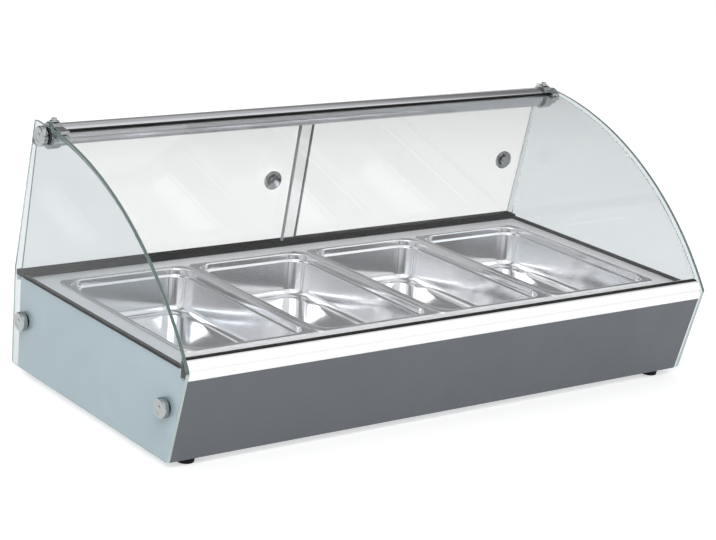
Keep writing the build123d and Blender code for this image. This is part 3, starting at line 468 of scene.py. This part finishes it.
direction = add(room, "TexCoord")
parts = add(room, "SeparateXYZ", {0: direction.outputs["Generated"]})
height = spread(room, parts.outputs["Z"])
above = spread(room, parts.outputs["Z"], 0.20, 0.27)
customer_side = spread(room, parts.outputs["Y"], 0.0, -0.2)
ceiling = ramp(room, height, [(0.0, 0.28), (0.6, 0.28), (0.8, 0.8)])
sides = blend(room, customer_side, ceiling, (1.25, 1.25, 1.26, 1))
mirrored = blend(room, above, (1, 1, 1, 1), sides)
walls = ramp(room, height, [(0.0, 0.55), (0.4, 0.8), (1.0, 1.0)])
lit = add(room, "Background", {"Color": walls, "Strength": 0.8})
shown = add(room, "Background", {"Color": mirrored, "Strength": 1.0})
either = add(room, "MixShader", {0: seen_rays(room, path), 1: lit.outputs[0], 2: shown.outputs[0]})
add(room, "OutputWorld", {"Surface": either.outputs[0]})


def area_lamp(name, place_at, target, size, power):
    """A square soft lamp that faces its target."""
    data = bpy.data.lights.new(name, "AREA")
    data.size = size
    data.energy = power
    lamp = bpy.data.objects.new(name, data)
    scene.collection.objects.link(lamp)
    lamp.location = place_at
    lamp.rotation_euler = (Vector(target) - Vector(place_at)).to_track_quat("-Z", "Y").to_euler()
    return lamp


key = area_lamp("key", (-2.2, -2.4, 3.4), (0, 0, 0.2), 2.6, 68)
fill = area_lamp("fill", (3.0, -2.0, 2.2), (0, 0, 0.2), 2.6, 9)
rear = area_lamp("rear", (0.5, 3.0, 2.8), (0, 0, 0.3), 2.4, 12)
key.visible_glossy = fill.visible_glossy = rear.visible_glossy = False

floor_reach = 20.0
floor_lift = 0.42
floor_mesh = bpy.data.meshes.new("floor")
corners = [(x * floor_reach, y * floor_reach, 0) for x, y in ((-1, -1), (1, -1), (1, 1), (-1, 1))]
floor_mesh.from_pydata(corners, [], [(0, 1, 2, 3)])
floor = bpy.data.objects.new("floor", floor_mesh)
scene.collection.objects.link(floor)
pale, tree, shader, output = new_material(
    "pale_floor", Base_Color=(0.8, 0.8, 0.8, 1), Roughness=0.9, Specular_IOR_Level=0.0,
    Emission_Color=(1, 1, 1, 1))
path = add(tree, "LightPath")
join(tree, maths(tree, "MULTIPLY", seen_rays(tree, path), floor_lift), shader, "Emission Strength")
floor_mesh.materials.append(pale)
print("stage ready")

# %% [markdown]
# New pieces are grids of points: a formula gives the point for each pair of steps, and
# neighbouring points are joined into four-sided faces. Rows that close on themselves share their
# points, and a pole, where a whole row is one point, is merged.

# %% Surface helpers


def surface(name, points, material, close_rows=False, close_columns=False, smooth=40):
    """Mesh object from points[row, column, xyz]. Each four neighbours make a face. Closed rows
    or columns join their last step to their first. Doubles are merged and normals point out."""
    rows, columns = points.shape[:2]
    index = np.arange(rows * columns).reshape(rows, columns)
    if close_rows:
        index = np.vstack([index, index[:1]])
    if close_columns:
        index = np.hstack([index, index[:, :1]])
    faces = np.stack([index[:-1, :-1], index[1:, :-1], index[1:, 1:], index[:-1, 1:]], axis=-1)
    mesh = bpy.data.meshes.new(name)
    mesh.from_pydata(points.reshape(-1, 3).tolist(), [], faces.reshape(-1, 4).tolist())
    return finish_mesh(name, mesh, material, smooth)


def finish_mesh(name, mesh, material, smooth):
    """Merge doubles, point the normals out, round the shading below an angle, and link it."""
    work = bmesh.new()
    work.from_mesh(mesh)
    bmesh.ops.remove_doubles(work, verts=work.verts, dist=1e-6)
    bmesh.ops.dissolve_degenerate(work, edges=work.edges, dist=1e-7)
    bmesh.ops.recalc_face_normals(work, faces=work.faces)
    for face in work.faces:
        face.smooth = True
    for edge in work.edges:
        edge.smooth = len(edge.link_faces) == 2 and edge.calc_face_angle(0) < radians(smooth)
    work.to_mesh(mesh)
    work.free()
    mesh.materials.append(material)
    made = bpy.data.objects.new(name, mesh)
    scene.collection.objects.link(made)
    return made


def turned(name, profile, centre, axis, material, steps=64, smooth=40, ring=False, shape=None):
    """A profile of (radius, height) points turned about an axis through centre: each point goes
    round a circle of its radius, at its height along the axis. A ring's profile closes on itself.
    shape(angle, radius, height) may give a changed radius and height, as for flats or a recess."""
    axis = Vector(axis).normalized()
    across = axis.orthogonal().normalized()
    beside = axis.cross(across)
    radius, height = np.array(profile, float).T
    angle = np.linspace(0, 2 * pi, steps, endpoint=False)[:, None]
    radius, height = np.broadcast_arrays(radius[None], angle)[0], np.broadcast_arrays(height[None], angle)[0]
    if shape:
        radius, height = shape(angle, radius, height)
    outwards = np.cos(angle) * np.array(across) + np.sin(angle) * np.array(beside)
    points = np.array(centre) + height[..., None] * np.array(axis) + radius[..., None] * outwards[:, None, :]
    return surface(name, points, material, close_rows=True, close_columns=ring, smooth=smooth)


def arc(centre, radius, start, end, steps):
    """Points on a circle from one angle to another, both in degrees."""
    angle = np.radians(np.linspace(start, end, steps))
    return np.stack([centre[0] + radius * np.cos(angle), centre[1] + radius * np.sin(angle)], axis=1)


def fillet_line(corners, radii, steps=6):
    """A line through corners, with each inner corner rounded: the arc touches both sides at
    radius times the tangent of half the turn from the corner."""
    corners = [np.array(c, float) for c in corners]
    points = [corners[0][None]]
    for before, corner, after, radius in zip(corners, corners[1:], corners[2:], radii):
        to_before = (before - corner) / np.linalg.norm(before - corner)
        to_after = (after - corner) / np.linalg.norm(after - corner)
        half = np.arccos(np.clip(to_before @ to_after, -1, 1)) / 2
        if radius <= 0 or abs(half - pi / 2) < 1e-6:
            points.append(corner[None])
            continue
        middle = corner + (to_before + to_after) / np.linalg.norm(to_before + to_after) * radius / sin(half)
        start = corner + to_before * radius / np.tan(half) - middle
        end = corner + to_after * radius / np.tan(half) - middle
        share = np.linspace(0, 1, steps)[:, None]
        swing = np.arccos(np.clip(start @ end / radius**2, -1, 1))
        swung = np.sin((1 - share) * swing) * start + np.sin(share * swing) * end
        points.append(middle + swung / np.sin(swing))
    points.append(corners[-1][None])
    return np.concatenate(points)


def hollow_bar(name, outer, inner, low_x, high_x, material):
    """A bar along X with a wall: the outer loop and the inner loop of (y, z) points, both at both
    ends. The four loops close on themselves, as a long ring does."""
    loops = []
    for outline, x in ((outer, low_x), (outer, high_x), (inner, high_x), (inner, low_x)):
        loops.append(np.column_stack([np.full(len(outline), x), outline]))
    return surface(name, np.array(loops), material, close_rows=True, close_columns=True)


def inset(outline, distance):
    """A closed outline moved inwards: each point goes along the mean of its two sides' normals.
    The outline runs anticlockwise."""
    before = outline - np.roll(outline, 1, axis=0)
    after = np.roll(outline, -1, axis=0) - outline
    sides = [side / np.linalg.norm(side, axis=1)[:, None] for side in (before, after)]
    normals = [np.stack([-side[:, 1], side[:, 0]], axis=1) for side in sides]
    mean = normals[0] + normals[1]
    return outline + distance * 2 * mean / (mean**2).sum(axis=1)[:, None]


def cut_sheet(name, outlines, thick, edge, to_place, material):
    """A sheet cut to flat outlines, the first outside and the rest holes, with rounded edges.
    A filled flat curve gives it, and to_place(u, v, w) turns its points into (x, y, z)."""
    curve = bpy.data.curves.new(name, "CURVE")
    curve.dimensions = "2D"
    curve.fill_mode = "BOTH"
    for outline in outlines:
        spline = curve.splines.new("POLY")
        spline.points.add(len(outline) - 1)
        flat = np.column_stack([outline, np.zeros(len(outline)), np.ones(len(outline))])
        spline.points.foreach_set("co", flat.ravel())
        spline.use_cyclic_u = True
    curve.extrude = thick / 2 - edge
    curve.bevel_depth = edge
    curve.bevel_resolution = 1
    curve.offset = -edge
    return placed_mesh(name, curve, to_place, material)


def placed_mesh(name, curve, to_place, material):
    """The mesh of a flat curve or a text, with its points put in place before it is used."""
    holder = bpy.data.objects.new(name, curve)
    scene.collection.objects.link(holder)
    mesh = bpy.data.meshes.new_from_object(holder)
    bpy.data.objects.remove(holder)
    bpy.data.curves.remove(curve)
    flat = np.empty(len(mesh.vertices) * 3)
    mesh.vertices.foreach_get("co", flat)
    u, v, w = flat.reshape(-1, 3).T
    mesh.vertices.foreach_set("co", np.stack(to_place(u, v, w), axis=1).ravel())
    mesh.materials.clear()
    return finish_mesh(name, mesh, material, 12)


def dress(piece, body, slot, *replaced):
    """Let the piece ride on a body and stand for the nodes it replaces. slot is not used."""
    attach(piece, body)
    if replaced:
        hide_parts(*replaced)
    return piece


def thicken(piece, thickness, offset):
    """Give a thin surface a wall: offset -1 puts it behind the faces, and 0 half on each side."""
    shell = piece.modifiers.new("thickness", "SOLIDIFY")
    shell.thickness = thickness
    shell.offset = offset


def soften(piece, width, segments=2):
    """Round the sharp edges of a piece a little, as handling and polishing do."""
    bevel = piece.modifiers.new("edges", "BEVEL")
    bevel.width = width
    bevel.segments = segments
    bevel.limit_method = "ANGLE"
    bevel.angle_limit = radians(40)


# %% [markdown]
# The pans are deep-drawn: a flat sheet is pressed into a die, so every corner is round and no
# seam exists. Subdividing a box would give uneven corners. Here a profile, from the turned-down
# edge of the rim to the middle of the floor, is carried round a rounded rectangle. The profile
# says how far in it is from the rim's edge, how high it is, and how round its corners are.

# %% Pans
millimetre = 0.001
pan_sheet = 0.001


def rounded_rectangle(half_x, half_y, corner, steps):
    """Loops round a rectangle with round corners, one loop per entry of the arrays: each corner
    is a quarter circle about a point that lies one corner radius inside both sides."""
    quarter = np.linspace(0, pi / 2, steps)
    loops = []
    for turn, (sx, sy) in enumerate(((1, 1), (-1, 1), (-1, -1), (1, -1))):
        angle = quarter + turn * pi / 2
        x = sx * (half_x - corner)[:, None] + corner[:, None] * np.cos(angle)
        y = sy * (half_y - corner)[:, None] + corner[:, None] * np.sin(angle)
        loops.append(np.stack([x, y], axis=-1))
    return np.concatenate(loops, axis=1)


def pan_profile(depth):
    """Inset, height and corner radius along the pan, from the rim's lower edge to mid-floor."""
    outline = fillet_line(
        [(0, -3), (0, 0), (13.2, 0.3), (13.5, -15), (16.8, -18.5), (22.5, 1 - depth), (60, 1 - depth)],
        (1.6, 3.5, 3.0, 3.0, 17.0), steps=7)
    inset, height = outline.T
    corner = np.interp(inset, [0, 12, 17, 23, 60], [20, 47, 45, 42, 30])
    return inset * millimetre, height * millimetre, corner * millimetre


def pan_surface(name, box):
    """The drawn pan in the space of its node: the profile round the rectangle, then the floor,
    whose loops shrink onto the pan's middle line."""
    low, high = box
    half_x, half_y = (high.x - low.x) / 2, (high.y - low.y) / 2
    middle = np.array([(low.x + high.x) / 2, (low.y + high.y) / 2])
    inset, height, corner = pan_profile((high.z - low.z) / millimetre)
    floor_inset = np.linspace(inset[-1], half_x, 7)[1:]
    inset = np.concatenate([inset, floor_inset])
    height = np.concatenate([height, np.full(len(floor_inset), height[-1])])
    corner = np.concatenate([corner, np.interp(floor_inset, [inset[0], half_x], [corner[-1], 0])])
    corner = np.minimum(corner, np.maximum(half_x - inset, 0))
    loops = rounded_rectangle(half_x - inset, half_y - inset, corner, 12)
    flat = np.broadcast_to((high.z + height)[:, None], loops.shape[:2])
    points = np.concatenate([loops + middle, flat[..., None]], axis=-1)
    return surface(name, points, polished_steel, close_columns=True, smooth=60)


for number in range(1, 5):
    node = f"pan_{number}"
    pan = pan_surface(f"{node}_drawn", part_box(node))
    thicken(pan, pan_sheet, -1)
    dress(pan, node, "polished_steel", node)
print("pans", len(pan.data.polygons), "faces each")

# %% [markdown]
# The front glass is bent to an arc of a circle. A mirror-smooth arc needs many steps, and the
# sheet has ground edges. A thin middle surface is computed, Solidify gives it the thickness, and
# a small bevel grinds the edges.

# %% Front glass
low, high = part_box("front_glass")
glass_sheet = 0.006
ground_edge = 0.0008
curve_centre = (0.306, -0.200)
glass_radius, foot_rise = 0.784, 0.0022
middle_radius = glass_radius - glass_sheet / 2
foot_angle = degrees(atan2(low.z + foot_rise - curve_centre[1], low.y - curve_centre[0] + glass_sheet / 2))
top_angle = degrees(atan2(high.z - curve_centre[1], high.y - curve_centre[0]))
bent = arc(curve_centre, middle_radius, foot_angle, top_angle, 90)
across = np.linspace(low.x, high.x, 3)
points = np.empty((len(across), len(bent), 3))
points[:, :, 0] = across[:, None]
points[:, :, 1:] = bent[None]
front_glass = surface("front_glass_bent", points, curved_glass)
thicken(front_glass, glass_sheet, 0)
soften(front_glass, ground_edge)
dress(front_glass, "front_glass_cover", "clear_glass", "front_glass")
print("front glass from", round(foot_angle, 1), "to", round(top_angle, 1), "degrees")

# %% [markdown]
# Each end glass is cut to the whole side outline: up the slanted front, along an arc of a circle
# to the top, and down the leaning rear. Its curved edge is the line that one sees first, so the
# arc gets many points. A filled flat curve with a bevel is the short way to a cut sheet with
# holes: the bevel is the ground edge, and a hole is one more outline.

# %% End glasses
curve_radius = 0.790
end_glass_thick = 0.008
outer_face = 0.720
fixing_hole = 0.0065
fixing_places = [(0.248, 0.565), (0.310, 0.130), (-0.286, 0.130)]
front_knee, front_toe = (-0.360, 0.225), (-0.306, 0.017)
rear_heel, rear_knee, rear_top = (0.360, 0.017), (0.360, 0.240), (0.292, 0.590)


def side_outline():
    """The outline of an end glass, anticlockwise: straight sides with rounded corners, then the arc
    from the rear top to the front knee."""
    sides = fillet_line([front_knee, front_toe, rear_heel, rear_knee, rear_top], (0.005, 0.005, 0.012))
    ends = [atan2(z - curve_centre[1], y - curve_centre[0]) for y, z in (rear_top, front_knee)]
    sweep = arc(curve_centre, curve_radius, degrees(ends[0]), degrees(ends[1]), 120)
    return np.concatenate([sides, sweep[1:-1]])


def circle(centre, radius, steps=40):
    """A closed circle of points."""
    return arc(centre, radius, 0, 360 - 360 / steps, steps)


holes = [circle(fixing, fixing_hole) for fixing in fixing_places]
for word, side in (("left", -1), ("right", 1)):
    middle_x = side * (outer_face - end_glass_thick / 2)
    pane = cut_sheet(f"end_glass_{word}_cut", [side_outline()] + holes, end_glass_thick, ground_edge,
                     lambda u, v, w: (middle_x + w, u, v), end_glass)
    dress(pane, "case", "clear_glass", f"end_glass_{word}")
print("end glass", len(pane.data.polygons), "faces")

# %% [markdown]
# The tube, the caps, the knobs and the feet are round, and a profile turned about an axis is the
# exact way to make them. The tube is a ring: its profile goes out along the outside and back
# along the bore.

# %% Top tube
tube_centre = (0.248, 0.565)
tube_radius, tube_bore, tube_edge = 0.025, 0.023, 0.0004
tube_half = 0.710


def wall_profile(outer, inner, half, edge):
    """Closed section of a tube's wall with its four edges rounded by edge."""
    corners = [(outer, 0), (outer, half), (inner, half), (inner, -half), (outer, -half), (outer, 0)]
    return fillet_line(corners, (edge,) * 4, steps=3)[:-1]


tube = turned("top_tube_drawn", wall_profile(tube_radius, tube_bore, tube_half, tube_edge),
              (0, *tube_centre), (1, 0, 0), tube_steel, steps=96, ring=True)
dress(tube, "case", "aluminium", "top_tube")
print("tube", len(tube.data.polygons), "faces")

# %% [markdown]
# The rail is a drawn section: flat behind and below, with a round nose that catches the light in
# one long line. Its wall is the outline moved inwards.

# %% Front rail
rail_corners = [(-0.353, 0.205), (-0.328, 0.205), (-0.328, 0.245), (-0.341, 0.245)]
nose_middle = (-0.3547, 0.2273)
rail_wall = 0.0018


def arc_through(first, middle, last, steps):
    """Points on the circle through three points, whose centre is as far from each of them."""
    (x0, y0), (x1, y1), (x2, y2) = first, middle, last
    rows = np.array([[x1 - x0, y1 - y0], [x2 - x0, y2 - y0]])
    right = np.array([x1**2 - x0**2 + y1**2 - y0**2, x2**2 - x0**2 + y2**2 - y0**2]) / 2
    centre = np.linalg.solve(rows, right)
    start, end = (atan2(y - centre[1], x - centre[0]) % (2 * pi) for x, y in (first, last))
    return arc(centre, hypot(x0 - centre[0], y0 - centre[1]), degrees(start), degrees(end), steps)


flat_sides = fillet_line(rail_corners, (0.001, 0.001))
nose = arc_through(rail_corners[3], nose_middle, rail_corners[0], 28)
rail_outline = np.concatenate([flat_sides, nose[1:-1]])
rail_inside = inset(rail_outline, rail_wall)
rail = hollow_bar("front_rail_drawn", rail_outline, rail_inside, -tube_half, tube_half, rail_steel)
dress(rail, "case", "polished_steel", "front_rail")
print("rail", len(rail.data.polygons), "faces")

# %% [markdown]
# A cap is a disc with a rounded edge and a slightly hollow face with a button in its middle,
# which gives the bright point in each cap. Six of them hold the two end glasses.

# %% Fixing caps
cap_low, cap_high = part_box("glass_fixing_caps")
cap_radius = 0.022
cap_thick = 0.013


def cap_profile(radius, thick):
    """From the middle of the back to the middle of the face: wall, round edge, hollow, button."""
    return fillet_line(
        [(0, 0), (radius, 0), (radius, thick), (radius * 0.62, thick), (radius * 0.5, thick - 0.0012),
         (radius * 0.3, thick - 0.0012), (radius * 0.24, thick), (0, thick)],
        (0.0006, 0.004, 0.001, 0.001, 0.0006, 0.0006), steps=5)


def merge(name, pieces, material):
    """One object from several with the same finish, each mesh kept as it is."""
    work = bmesh.new()
    for piece in pieces:
        work.from_mesh(piece.data)
        bpy.data.objects.remove(piece)
    mesh = bpy.data.meshes.new(name)
    work.to_mesh(mesh)
    work.free()
    mesh.materials.append(material)
    made = bpy.data.objects.new(name, mesh)
    scene.collection.objects.link(made)
    return made


caps = []
for side, face in ((-1, cap_low.x + cap_thick), (1, cap_high.x - cap_thick)):
    for y, z in fixing_places:
        caps.append(turned("cap", cap_profile(cap_radius, cap_thick), (face, y, z), (side, 0, 0), chrome))
dress(merge("glass_fixing_caps_turned", caps, chrome), "case", "chrome", "glass_fixing_caps")
print("caps", len(caps))

# %% [markdown]
# A door knob is a mushroom: a thin rosette on the front of the glass, a neck through it, and a
# disc behind, for the server's fingers. It leans with its door.

# %% Door knobs
door_foot, door_head = (0.328, 0.235), (0.280, 0.544)
lean = (door_foot[0] - door_head[0]) / (door_head[1] - door_foot[1])
knob_height = 0.388
lean_axis = Vector((0, 1, lean)).normalized()
knob_profile = fillet_line(
    [(0, -4), (15, -4), (15, -2.5), (4, -2.5), (4, 2.5), (11, 2.5), (11, 6), (23, 6), (23, 14), (16, 14),
     (14.5, 13), (0, 13)],
    (0.8, 0.3, 0.4, 0.4, 0.4, 0.8, 1.2, 2.6, 0.6, 0.6), steps=5) * millimetre
for word, door_y, knob_x in (("left", 0.348, -0.059), ("right", 0.328, 0.642)):
    knob_middle = (knob_x, door_y - lean * (knob_height - door_foot[1]), knob_height)
    knob = turned(f"door_{word}_knob_turned", knob_profile, knob_middle, lean_axis, knob_shaded_chrome)
    dress(knob, f"{word}_door", "chrome", f"door_{word}_knob")
print("knob", len(knob.data.polygons), "faces")

# %% [markdown]
# A hinge collar is a ring round the tube with a lug in front, and the lug's slot grips the top of
# the front glass. Its outline is flat, so it is a thick cut sheet: the ring and the two walls of
# the lug are arcs, and the places where they meet are worked out.

# %% Hinge collars
collar_radius = 0.030
collar_thick = 0.022
collar_middle = 0.697
collar_bore = 0.02505
collar_edge = 0.0007
lug_front, slot_back = 0.198, 0.2215
lug_outer, slot_outer, slot_inner, lug_inner = 0.791, 0.7843, 0.7777, 0.771


def circles_meet(centre, radius, other, other_radius):
    """The crossing point of two circles with the smaller first coordinate: along the line between
    the centres by a share that the radii give, and then square to that line."""
    between = np.array(other) - centre
    gap = np.linalg.norm(between)
    along = (radius**2 - other_radius**2 + gap**2) / (2 * gap)
    off = sqrt(radius**2 - along**2)
    foot = centre + between * along / gap
    square = np.array([-between[1], between[0]]) / gap * off
    return min((foot + square, foot - square), key=lambda point: point[0])


def on_curve(radius, y):
    """Point at y on the circle of this radius round the centre of the side outline."""
    return np.array([y, curve_centre[1] + sqrt(radius**2 - (y - curve_centre[0]) ** 2)])


def collar_outline():
    """Clockwise from the top of the lug: round the back of the ring and out along the lug."""
    ends = []
    for radius in (lug_outer, lug_inner):
        meet = circles_meet(np.array(tube_centre), collar_radius, curve_centre, radius)
        ends.append(degrees(atan2(meet[1] - tube_centre[1], meet[0] - tube_centre[0])) % 360)
    ring = arc(tube_centre, collar_radius, ends[0], ends[1] - 360, 60)
    lug = [on_curve(lug_inner, lug_front), on_curve(slot_inner, lug_front), on_curve(slot_inner, slot_back),
           on_curve(slot_outer, slot_back), on_curve(slot_outer, lug_front), on_curve(lug_outer, lug_front)]
    return np.concatenate([ring, lug])


for word, side in (("left", -1), ("right", 1)):
    middle_x = side * collar_middle
    collar = cut_sheet(f"hinge_collar_{word}_cut", [collar_outline(), circle(tube_centre, collar_bore, 64)],
                       collar_thick, collar_edge, lambda u, v, w: (middle_x + w, u, v), chrome)
    dress(collar, "front_glass_cover", "chrome", f"hinge_collar_{word}")
head_profile = fillet_line(
    [(0, -4.5), (3, -4.5), (3, 0), (10.5, 0), (10.5, 2.5), (6.5, 2.6), (6, 8), (0, 8)],
    (0.3, 0, 0.4, 1.0, 1.0, 2.4), steps=5) * millimetre
head_foot = (tube_centre[0], tube_centre[1] + collar_radius)
heads = [turned("head", head_profile, (side * collar_middle, *head_foot), (0, 0, 1), chrome)
         for side in (-1, 1)]
dress(merge("collar_screws_turned", heads, chrome), "front_glass_cover", "chrome", "collar_screws")
print("collar", len(collar.data.polygons), "faces")

# %% [markdown]
# The feet are moulded rubber with a rounded sole and a sunk screw. A shallow groove runs round
# each one above the sole.

# %% Feet
foot_places = [(sx * 0.655, y) for sx in (-1, 1) for y in (-0.275, 0.300)]
foot_profile = fillet_line(
    [(3.05, 15), (20, 15), (18.6, 5), (18.0, 4.6), (18.3, 4), (17.9, 0), (7, 0), (7, 5), (3.05, 5),
     (3.05, 15)],
    (0.5, 0.3, 0.2, 0.3, 1.5, 0.6, 0.4, 0.2), steps=4)[:-1] * millimetre
feet = [turned("foot", foot_profile, (x, y, 0), (0, 0, 1), rubber, steps=48, ring=True)
        for x, y in foot_places]
dress(merge("feet_moulded", feet, rubber), "case", "rubber", "feet")
print("feet", len(feet))

# %% [markdown]
# The rear panel's screws are small, but they are what one sees from behind. The head is a low
# dome, and the cross in it is pressed in where both the height and the width of a bar say so.

# %% Panel screws
rear_face = 0.340
screw_places = [(x, z) for x in (-0.700, 0.700) for z in (0.080, 0.180)]
screw_places += [(x, 0.027) for x in (-0.560, -0.190, 0.190, 0.560)]
head_radius, head_height = 0.004, 0.0024


def on_panel(name, profile, middle, material, **how):
    """A profile turned about an axis that stands out of the rear panel at this (x, z)."""
    return turned(name, profile, (middle[0], rear_face, middle[1]), (0, 1, 0), material, **how)


def cross_recess(angle, radius, height):
    """Lower the top of the head inside a cross, whose bars are 1.3 mm wide and 4.6 mm long at the
    top and a little smaller at the bottom."""
    across = np.abs(radius * np.cos(angle)), np.abs(radius * np.sin(angle))
    narrow, long = np.minimum(*across), np.maximum(*across)
    inside = np.clip((0.00065 - narrow) / 0.0002, 0, 1) * np.clip((0.0023 - long) / 0.0003, 0, 1)
    return radius, height - 0.0011 * inside * (height > head_height / 2)


screw_profile = [(0, 0), (head_radius, 0), (head_radius, head_height * 0.3)]
screw_profile += [(r, head_height * (1 - 0.18 * (r / head_radius) ** 2)) for r in np.linspace(0.0037, 0, 20)]
screws = [on_panel("screw", screw_profile, middle, zinc, steps=72, shape=cross_recess)
          for middle in screw_places]
dress(merge("panel_screws_pressed", screws, zinc), "case", "zinc_steel", "panel_screws")
print("screws", len(screws))

# %% [markdown]
# The server sets the heat at the back. The dial is a skirt with a bar to grip, and its pointer
# runs along the bar. It rests at nought, and turns clockwise over three quarters of a circle.
# Plain numbers round it are printed on the panel, so they stay where they are when it turns.
# Real prints are a few hundredths of a millimetre thick, and here they are a tenth, so that the
# mesh has them.

# %% Dial
dial_place = (-0.500, 0.150)
print_thick = 0.0001


def ridged(angle, radius, height):
    """Thirty shallow grooves in the rim of the skirt: the radius falls where a wave is high."""
    on_rim = (radius > 0.019) & (height < 0.0038)
    wave = np.clip(np.cos(30 * angle) - 0.3, 0, 1) / 0.7
    return radius - 0.0005 * wave * on_rim, height


skirt_line = fillet_line(
    [(0, 1), (21, 1), (21, 4), (16, 4.4), (15.3, 10), (0, 10)], (0.3, 0.8, 1.2, 1.4), steps=5) * millimetre
skirt = on_panel("skirt", skirt_line, dial_place, black_plastic, steps=240, shape=ridged)


def bar_surface(name, centre, half_long, half_wide, low, high, round_top, material):
    """A bar with round ends and a rounded top: each row is a stadium, the outline of a straight bar
    with half circles at its ends, and the rows draw in by a quarter circle at the top."""
    turn = np.linspace(0, 2 * pi, 48, endpoint=False)
    bow = np.linspace(0, pi / 2, 6)
    wide = np.concatenate([[half_wide + 0.0004], half_wide - round_top * (1 - np.cos(bow)), [0.0]])
    tall = np.concatenate([[low], high - round_top + round_top * np.sin(bow), [high]])
    straight = half_long - half_wide
    across = wide[:, None] * np.cos(turn)
    along = wide[:, None] * np.sin(turn) + straight * np.sign(np.sin(turn) + 1e-9)
    points = np.stack([centre[0] + across, np.broadcast_to(rear_face + tall[:, None], across.shape),
                       centre[1] + along], axis=-1)
    return surface(name, points, material, close_columns=True)


grip = bar_surface("grip", dial_place, 0.0138, 0.0040, 0.0096, 0.0180, 0.0016, black_plastic)
dress(merge("thermostat_dial", [skirt, grip], black_plastic), "dial", "black_plastic", "thermostat_knob")
pointer = bar_surface("dial_pointer", (dial_place[0], dial_place[1] + 0.0065), 0.0055, 0.0006, 0.0178,
                      0.01815, 0.0001, white_print)
dress(pointer, "dial", "white_paint")


def printed(name, text, size, middle, material):
    """A printed word or number on the rear panel, with its middle at (x, z), read from behind."""
    letters = bpy.data.curves.new(name, "FONT")
    letters.body = text
    letters.size = size
    letters.align_x = "CENTER"
    letters.align_y = "CENTER"
    letters.extrude = print_thick / 2
    return placed_mesh(name, letters, lambda u, v, w: (middle[0] - u, rear_face + print_thick / 2 + w,
                                                       middle[1] + v), material)


prints = []
heats = [0] + list(range(30, 100, 10))
first_heat, last_heat = 45, 270
number_ring, tick_ring = 0.030, 0.024
number_size, tick_size = 0.0065, 0.0035
for step, heat in enumerate(heats):
    clockwise = 0
    if heat:
        clockwise = first_heat + (last_heat - first_heat) * (step - 1) / (len(heats) - 2)
    turn = radians(90 - clockwise)
    for word, text, size, ring in (("heat", str(heat), number_size, number_ring),
                                   ("tick", "I", tick_size, tick_ring)):
        middle = (dial_place[0] - ring * cos(turn), dial_place[1] + ring * sin(turn))
        prints.append(printed(f"{word}_{heat}", text, size, middle, black_print))
dress(merge("dial_numbers", prints, black_print), "case", "black_plastic")
print("dial with", len(prints) // 2, "numbers")

# %% [markdown]
# The rocker has its two marks, a bar for on and a ring for off, sunk in colour on its two faces.
# They are placed on the face's own slope, and they tilt with the rocker.

# %% Rocker, lamp and gland
switch_place = (-0.435, 0.150)
rocker_tilt = radians(8)
rocker_waist, rocker_rise, rocker_half_length = 0.0045, 0.002, 0.012


def on_rocker(along, out):
    """Point (y, z) of the rocker's section: out from the pivot and along its length, both turned
    by the rocker's tilt."""
    y = rear_face - 0.003 + out * cos(rocker_tilt) + along * sin(rocker_tilt)
    z = switch_place[1] - out * sin(rocker_tilt) + along * cos(rocker_tilt)
    return y, z


def rocker_mark(name, outlines, along):
    """A thin mark whose flat u runs across the rocker and v along it, on the face at this place.
    The face stands out more the farther it is from the pivot."""
    slope = rocker_rise / rocker_half_length
    out = rocker_waist + slope * abs(along)

    def to_face(u, v, w):
        y, z = on_rocker(along + v, out + np.sign(along) * slope * v + w)
        return switch_place[0] - u, y, z

    return cut_sheet(name, outlines, 0.0002, 0.00004, to_face, white_print)


bar_mark = np.array([(-0.0004, -0.0022), (0.0004, -0.0022), (0.0004, 0.0022), (-0.0004, 0.0022)])
marks = [rocker_mark("mark_on", [bar_mark], 0.0066),
         rocker_mark("mark_off", [circle((0, 0), 0.0022, 32), circle((0, 0), 0.0015, 32)], -0.0066)]
dress(merge("rocker_marks", marks, white_print), "rocker", "white_paint")

lamp_place = (-0.385, 0.150)
lens_line = fillet_line(
    [(0, 0.5), (5.6, 0.5), (5.6, 3), (4.6, 5.4), (0, 6.0)], (0.2, 1.5, 2.0), steps=6) * millimetre


def fluted(angle, radius, height):
    """Twelve soft flutes on the lens, which spread the glow of the lamp."""
    return radius * (1 - 0.03 * (0.5 + 0.5 * np.cos(12 * angle)) * (height > 0.0015)), height


lens = on_panel("pilot_lamp_lens_pressed", lens_line, lamp_place, amber_plastic, steps=96, shape=fluted)
dress(lens, "case", "lamp_lens", "pilot_lamp_lens")

gland_place = (-0.640, 0.055)


def spanner_flats(angle, radius, height):
    """Six flats at the foot: the radius is at most the flats' distance over the cosine of the
    angle from the flat's middle. Above them, fine ribs for the fingers."""
    from_flat = np.abs((angle + pi / 6) % (pi / 3) - pi / 6)
    flats = np.minimum(radius, 0.0104 / np.cos(from_flat))
    ribs = radius - 0.0004 * (np.cos(24 * angle) > 0.2) * (radius > 0.0085) * (height < 0.0155)
    return np.where(height < 0.0062, np.where(height > -0.0001, flats, radius), ribs), height


gland_line = fillet_line(
    [(4.5, -14), (8, -14), (8, 0), (12, 0), (12, 6), (10.5, 6.2), (9.8, 14), (8.6, 17.8), (4.5, 17.8),
     (4.5, -14)],
    (0.3, 0, 0.4, 0.4, 0.2, 0.8, 1.2, 0.8), steps=4)[:-1] * millimetre
gland = on_panel("cable_gland_moulded", gland_line, gland_place, black_plastic, steps=144, ring=True,
                 shape=spanner_flats)
dress(gland, "case", "black_plastic", "cable_gland")
print("rocker marks, lens and gland done")
